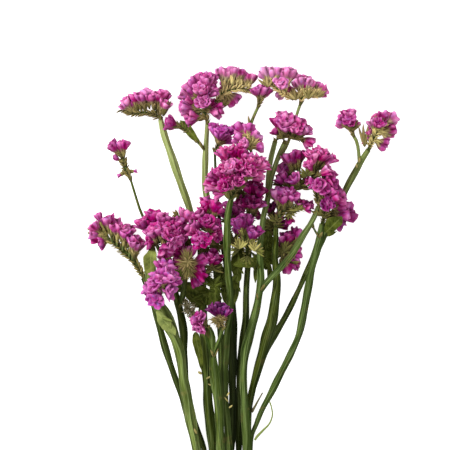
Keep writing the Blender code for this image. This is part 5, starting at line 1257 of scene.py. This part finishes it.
def scale_material():
    n = Nodes("statice_scale", 0.65, specular=0.06)
    around, up, tone, green, across, place = n.start()
    side = n.math("ABSOLUTE", across)
    tan = n.ramp(up, [(0.0, (0.045, 0.036, 0.004)), (0.40, (0.140, 0.100, 0.024)),
                      (0.75, (0.290, 0.195, 0.078)), (1.0, (0.260, 0.090, 0.095))])
    leafy = n.ramp(up, [(0.0, (0.026, 0.042, 0.003)), (0.40, (0.080, 0.105, 0.009)),
                        (0.75, (0.180, 0.205, 0.026)), (1.0, (0.250, 0.170, 0.050))])
    base = n.mix(n.math("ADD", green, 0.0, clamp=True), tan, leafy)
    rib = n.math("SINE", n.math("MULTIPLY", across, 9.0))
    base = n.mix(n.range(rib, 0.1, 0.9, 0.0, 0.45), base, (0.330, 0.290, 0.120))
    base = n.mix(n.range(rib, -0.2, -0.9, 0.0, 0.55), base, (0.040, 0.034, 0.008))
    base = n.mix(n.math("MULTIPLY", n.range(side, 0.60, 0.95), 0.45), base, (0.290, 0.215, 0.120))
    speck = n.noise(place, 900, 3)
    base = n.mix(n.range(speck, 0.4, 0.7, 0.0, 0.5), base, (0.045, 0.036, 0.012))
    pale = n.range(tone, 0.15, 1.1, 0.0, 0.72)
    base = n.mix(pale, base, n.mix(n.math("ADD", green, 0.0, clamp=True), (0.470, 0.350, 0.170),
                                   (0.400, 0.400, 0.100)))
    shade = n.add("ShaderNodeHueSaturation", Color=base)
    n.tree.links.new(n.math("MULTIPLY_ADD", tone, 0.50, 1.0), shade.inputs["Value"])
    return n.finish(shade.outputs[0], None, speck, 0.4, 0.0003)


def leaf_material():
    n = Nodes("statice_leaf", 0.55, specular=0.05)
    around, length, tone, green, across, place = n.start()
    side = n.math("ABSOLUTE", across)
    vein = n.math("SINE", n.math("MULTIPLY", n.math("SUBTRACT", length, n.math("MULTIPLY", side, 0.5)), 17.0))
    vein = n.range(vein, 0.75, 1.0)
    cloud = n.range(n.noise(place, 160, 4), 0.30, 0.70)
    base = n.mix(cloud, (0.018, 0.028, 0.001), (0.140, 0.165, 0.020))
    base = n.mix(n.math("MULTIPLY", green, 0.5), base, n.mix(cloud, (0.015, 0.034, 0.002), (0.105, 0.165, 0.022)))
    base = n.mix(n.math("MULTIPLY", vein, 0.25), base, (0.190, 0.225, 0.050))
    base = n.mix(n.math("MULTIPLY", n.range(side, 0.12, 0.02), 0.5), base, (0.220, 0.250, 0.070))
    base = n.mix(n.math("MULTIPLY", n.range(side, 0.84, 1.0), 0.45), base, (0.180, 0.175, 0.040))
    base = n.mix(n.range(tone, 0.5, 1.4, 0.0, 0.6), base,
                 n.mix(cloud, (0.150, 0.190, 0.060), (0.300, 0.340, 0.130)))
    shade = n.add("ShaderNodeHueSaturation", Color=base)
    n.tree.links.new(n.math("MULTIPLY_ADD", n.math("MINIMUM", tone, 0.8), 0.60, 1.0),
                     shade.inputs["Value"])
    height = n.math("ADD", n.math("MULTIPLY", vein, 0.6), n.noise(place, 1100, 3))
    return n.finish(shade.outputs[0], n.range(cloud, 0.3, 0.7, 0.60, 0.45), height, 0.5, 0.0004)


def dried_material():
    n = Nodes("statice_dried", 0.7, specular=0.12)
    around, length, tone, hue, across, place = n.start()
    streak = n.noise(n.vector(n.math("MULTIPLY", around, 18), n.math("MULTIPLY", length, 1.2), 0.0), 1.0, 4)
    base = n.ramp(streak, [(0.25, (0.060, 0.045, 0.016)), (0.5, (0.180, 0.150, 0.065)),
                           (0.75, (0.360, 0.310, 0.170))])
    green = n.range(n.noise(place, 70, 2), 0.42, 0.6)
    base = n.mix(n.math("MULTIPLY", green, 0.5), base, (0.100, 0.115, 0.035))
    base = n.mix(n.range(tone, 0.2, 1.2, 0.0, 0.8), base, (0.430, 0.390, 0.270))
    base = n.mix(n.range(hue, 0.5, 1.0, 0.0, 0.8), base, (0.190, 0.250, 0.060))
    shade = n.add("ShaderNodeHueSaturation", Color=base)
    n.tree.links.new(n.math("MULTIPLY_ADD", tone, 0.42, 1.0), shade.inputs["Value"])
    return n.finish(shade.outputs[0], None, streak, 0.6, 0.0004)


petal, green, scale = petal_material(), stem_material(), scale_material()
blade_green, dried = leaf_material(), dried_material()

for name, paths in STEMS.items():
    skin = Skin()
    seed = sum(ord(letter) * (i + 5) for i, letter in enumerate(name))
    dice = np.random.default_rng(seed)
    for i, path in enumerate(paths):
        winged(skin, path, WING, STEM_LOOK[name], seed + i, 0, spacing=0.0044, blunt=i == 0, slim=0.98)
        if i:
            # A stipule where the side branch leaves
            start, after = at(*path[0][:3]), at(*path[1][:3])
            way = unit(after - start)
            blade(skin, start + np.array([0, 0, path[0][3] * WING * 0.0009]), way + np.array([0, 0, 0.22]),
                  np.array([0.0, 0.0, 1.0]), 0.0062, 0.0022, 0.0005, 0.0, -0.4,
                  (dice.uniform(-0.4, 0.2), 0.7), 3, rings=7, sides=8)
    # Narrow bracts where the flower head begins
    for path in paths:
        tip, before = at(*path[0][:3]), at(*path[1][:3])
        if path is not paths[0]:
            tip, before = at(*path[-1][:3]), at(*path[-2][:3])
        way = unit(tip - before)
        first, second = square_to(way)
        for k in range(4):
            aside = first * cos(k * 1.57 + 0.4) + second * sin(k * 1.57 + 0.4)
            blade(skin, tip - way * 0.002 + aside * 0.0008, way + aside * 0.35, aside,
                  0.0052 * dice.uniform(0.8, 1.3), 0.0024, 0.0004, 0.05, -0.4,
                  (STEM_LOOK[name][0] * 0.4 + dice.uniform(-0.3, 0.3), 0.7), 3, rings=6, sides=6)
    for k, (line, look) in enumerate(STEM_LEAVES.get(name, [])):
        leaf(skin, line, look, seed + 50 + k, slot=1)
    for u, v, height, aim, long, wide, tone in SCARS.get(name, []):
        way = np.array([cos(aim * pi / 180), sin(aim * pi / 180), 0.25])
        blade(skin, at(u, v, height), way, np.array([0.0, 0.0, 1.0]), long / 1000, wide / 1000, 0.0004,
              dice.uniform(-0.1, 0.3), -0.4, (tone, 0.4), 3, rings=8, sides=8)
    made = skin.make(name + "_winged", [green, blade_green, dried, scale])
    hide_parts(name)
    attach(made, "root")

for name, (axis, lumps) in HEADS.items():
    made = head(name, axis, lumps, [petal, green, scale, dried])
    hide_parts(name)
    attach(made, "root")

for i, (name, (path, flatness)) in enumerate(LEAVES.items()):
    skin = Skin()
    if name == "dried_calyx":
        withered(skin, path, 31)
        made = skin.make(name + "_piece", [dried])
    elif name.startswith("dried"):
        look = (0.15, 1.0) if name == "dried_tendril" else (-0.9, 0.0)
        winged(skin, path, 0.5, look, 40 + i, 0, spacing=0.0012)
        made = skin.make(name + "_piece", [dried])
    else:
        leaf(skin, path, LEAF_LOOK[name], 60 + i)
        made = skin.make(name + "_blade", [blade_green])
    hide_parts(name)
    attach(made, "root")

# Floor, light and camera
floor_mesh = bpy.data.meshes.new("floor")
floor_mesh.from_pydata([(-4, -4, 0), (4, -4, 0), (4, 4, 0), (-4, 4, 0)], [], [(0, 1, 2, 3)])
floor = bpy.data.objects.new("floor", floor_mesh)
bpy.context.scene.collection.objects.link(floor)
plain = Nodes("floor_white", 0.9, specular=0.1)
plain.shader.inputs["Base Color"].default_value = (0.60, 0.60, 0.60, 1)
plain.shader.inputs["Emission Color"].default_value = (1, 1, 1, 1)
plain.shader.inputs["Emission Strength"].default_value = 0.86
floor_mesh.materials.append(plain.material)

world = bpy.data.worlds.new("studio")
world.use_nodes = True
world.node_tree.nodes["Background"].inputs["Color"].default_value = (1, 1, 1, 1)
world.node_tree.nodes["Background"].inputs["Strength"].default_value = 0.68
bpy.context.scene.world = world


def lamp(name, place, aim, size, power):
    data = bpy.data.lights.new(name, "AREA")
    data.shape = "DISK"
    data.size = size
    data.energy = power
    obj = bpy.data.objects.new(name, data)
    obj.location = place
    obj.rotation_euler = (Vector(aim) - Vector(place)).to_track_quat("-Z", "Y").to_euler()
    bpy.context.scene.collection.objects.link(obj)


lamp("key", (-1.10, 0.70, 1.2), (0, 0.05, 0.04), 0.6, 30.0)
lamp("fill", (1.0, -0.5, 1.3), (0, 0.05, 0.04), 1.2, 5.0)

camera_data = bpy.data.cameras.new("camera")
camera_data.sensor_width = 36
camera_data.lens = 36 * (EYE_HEIGHT - MID_HEIGHT) / (450 * UNIT_MM)
camera_data.clip_start = 0.05
camera = bpy.data.objects.new("camera", camera_data)
camera.location = (SHIFT[0] / 1000, SHIFT[1] / 1000, EYE_HEIGHT / 1000)
bpy.context.scene.collection.objects.link(camera)
bpy.context.scene.camera = camera
bpy.context.scene.view_settings.view_transform = "Standard"
bpy.context.scene.view_settings.look = "None"
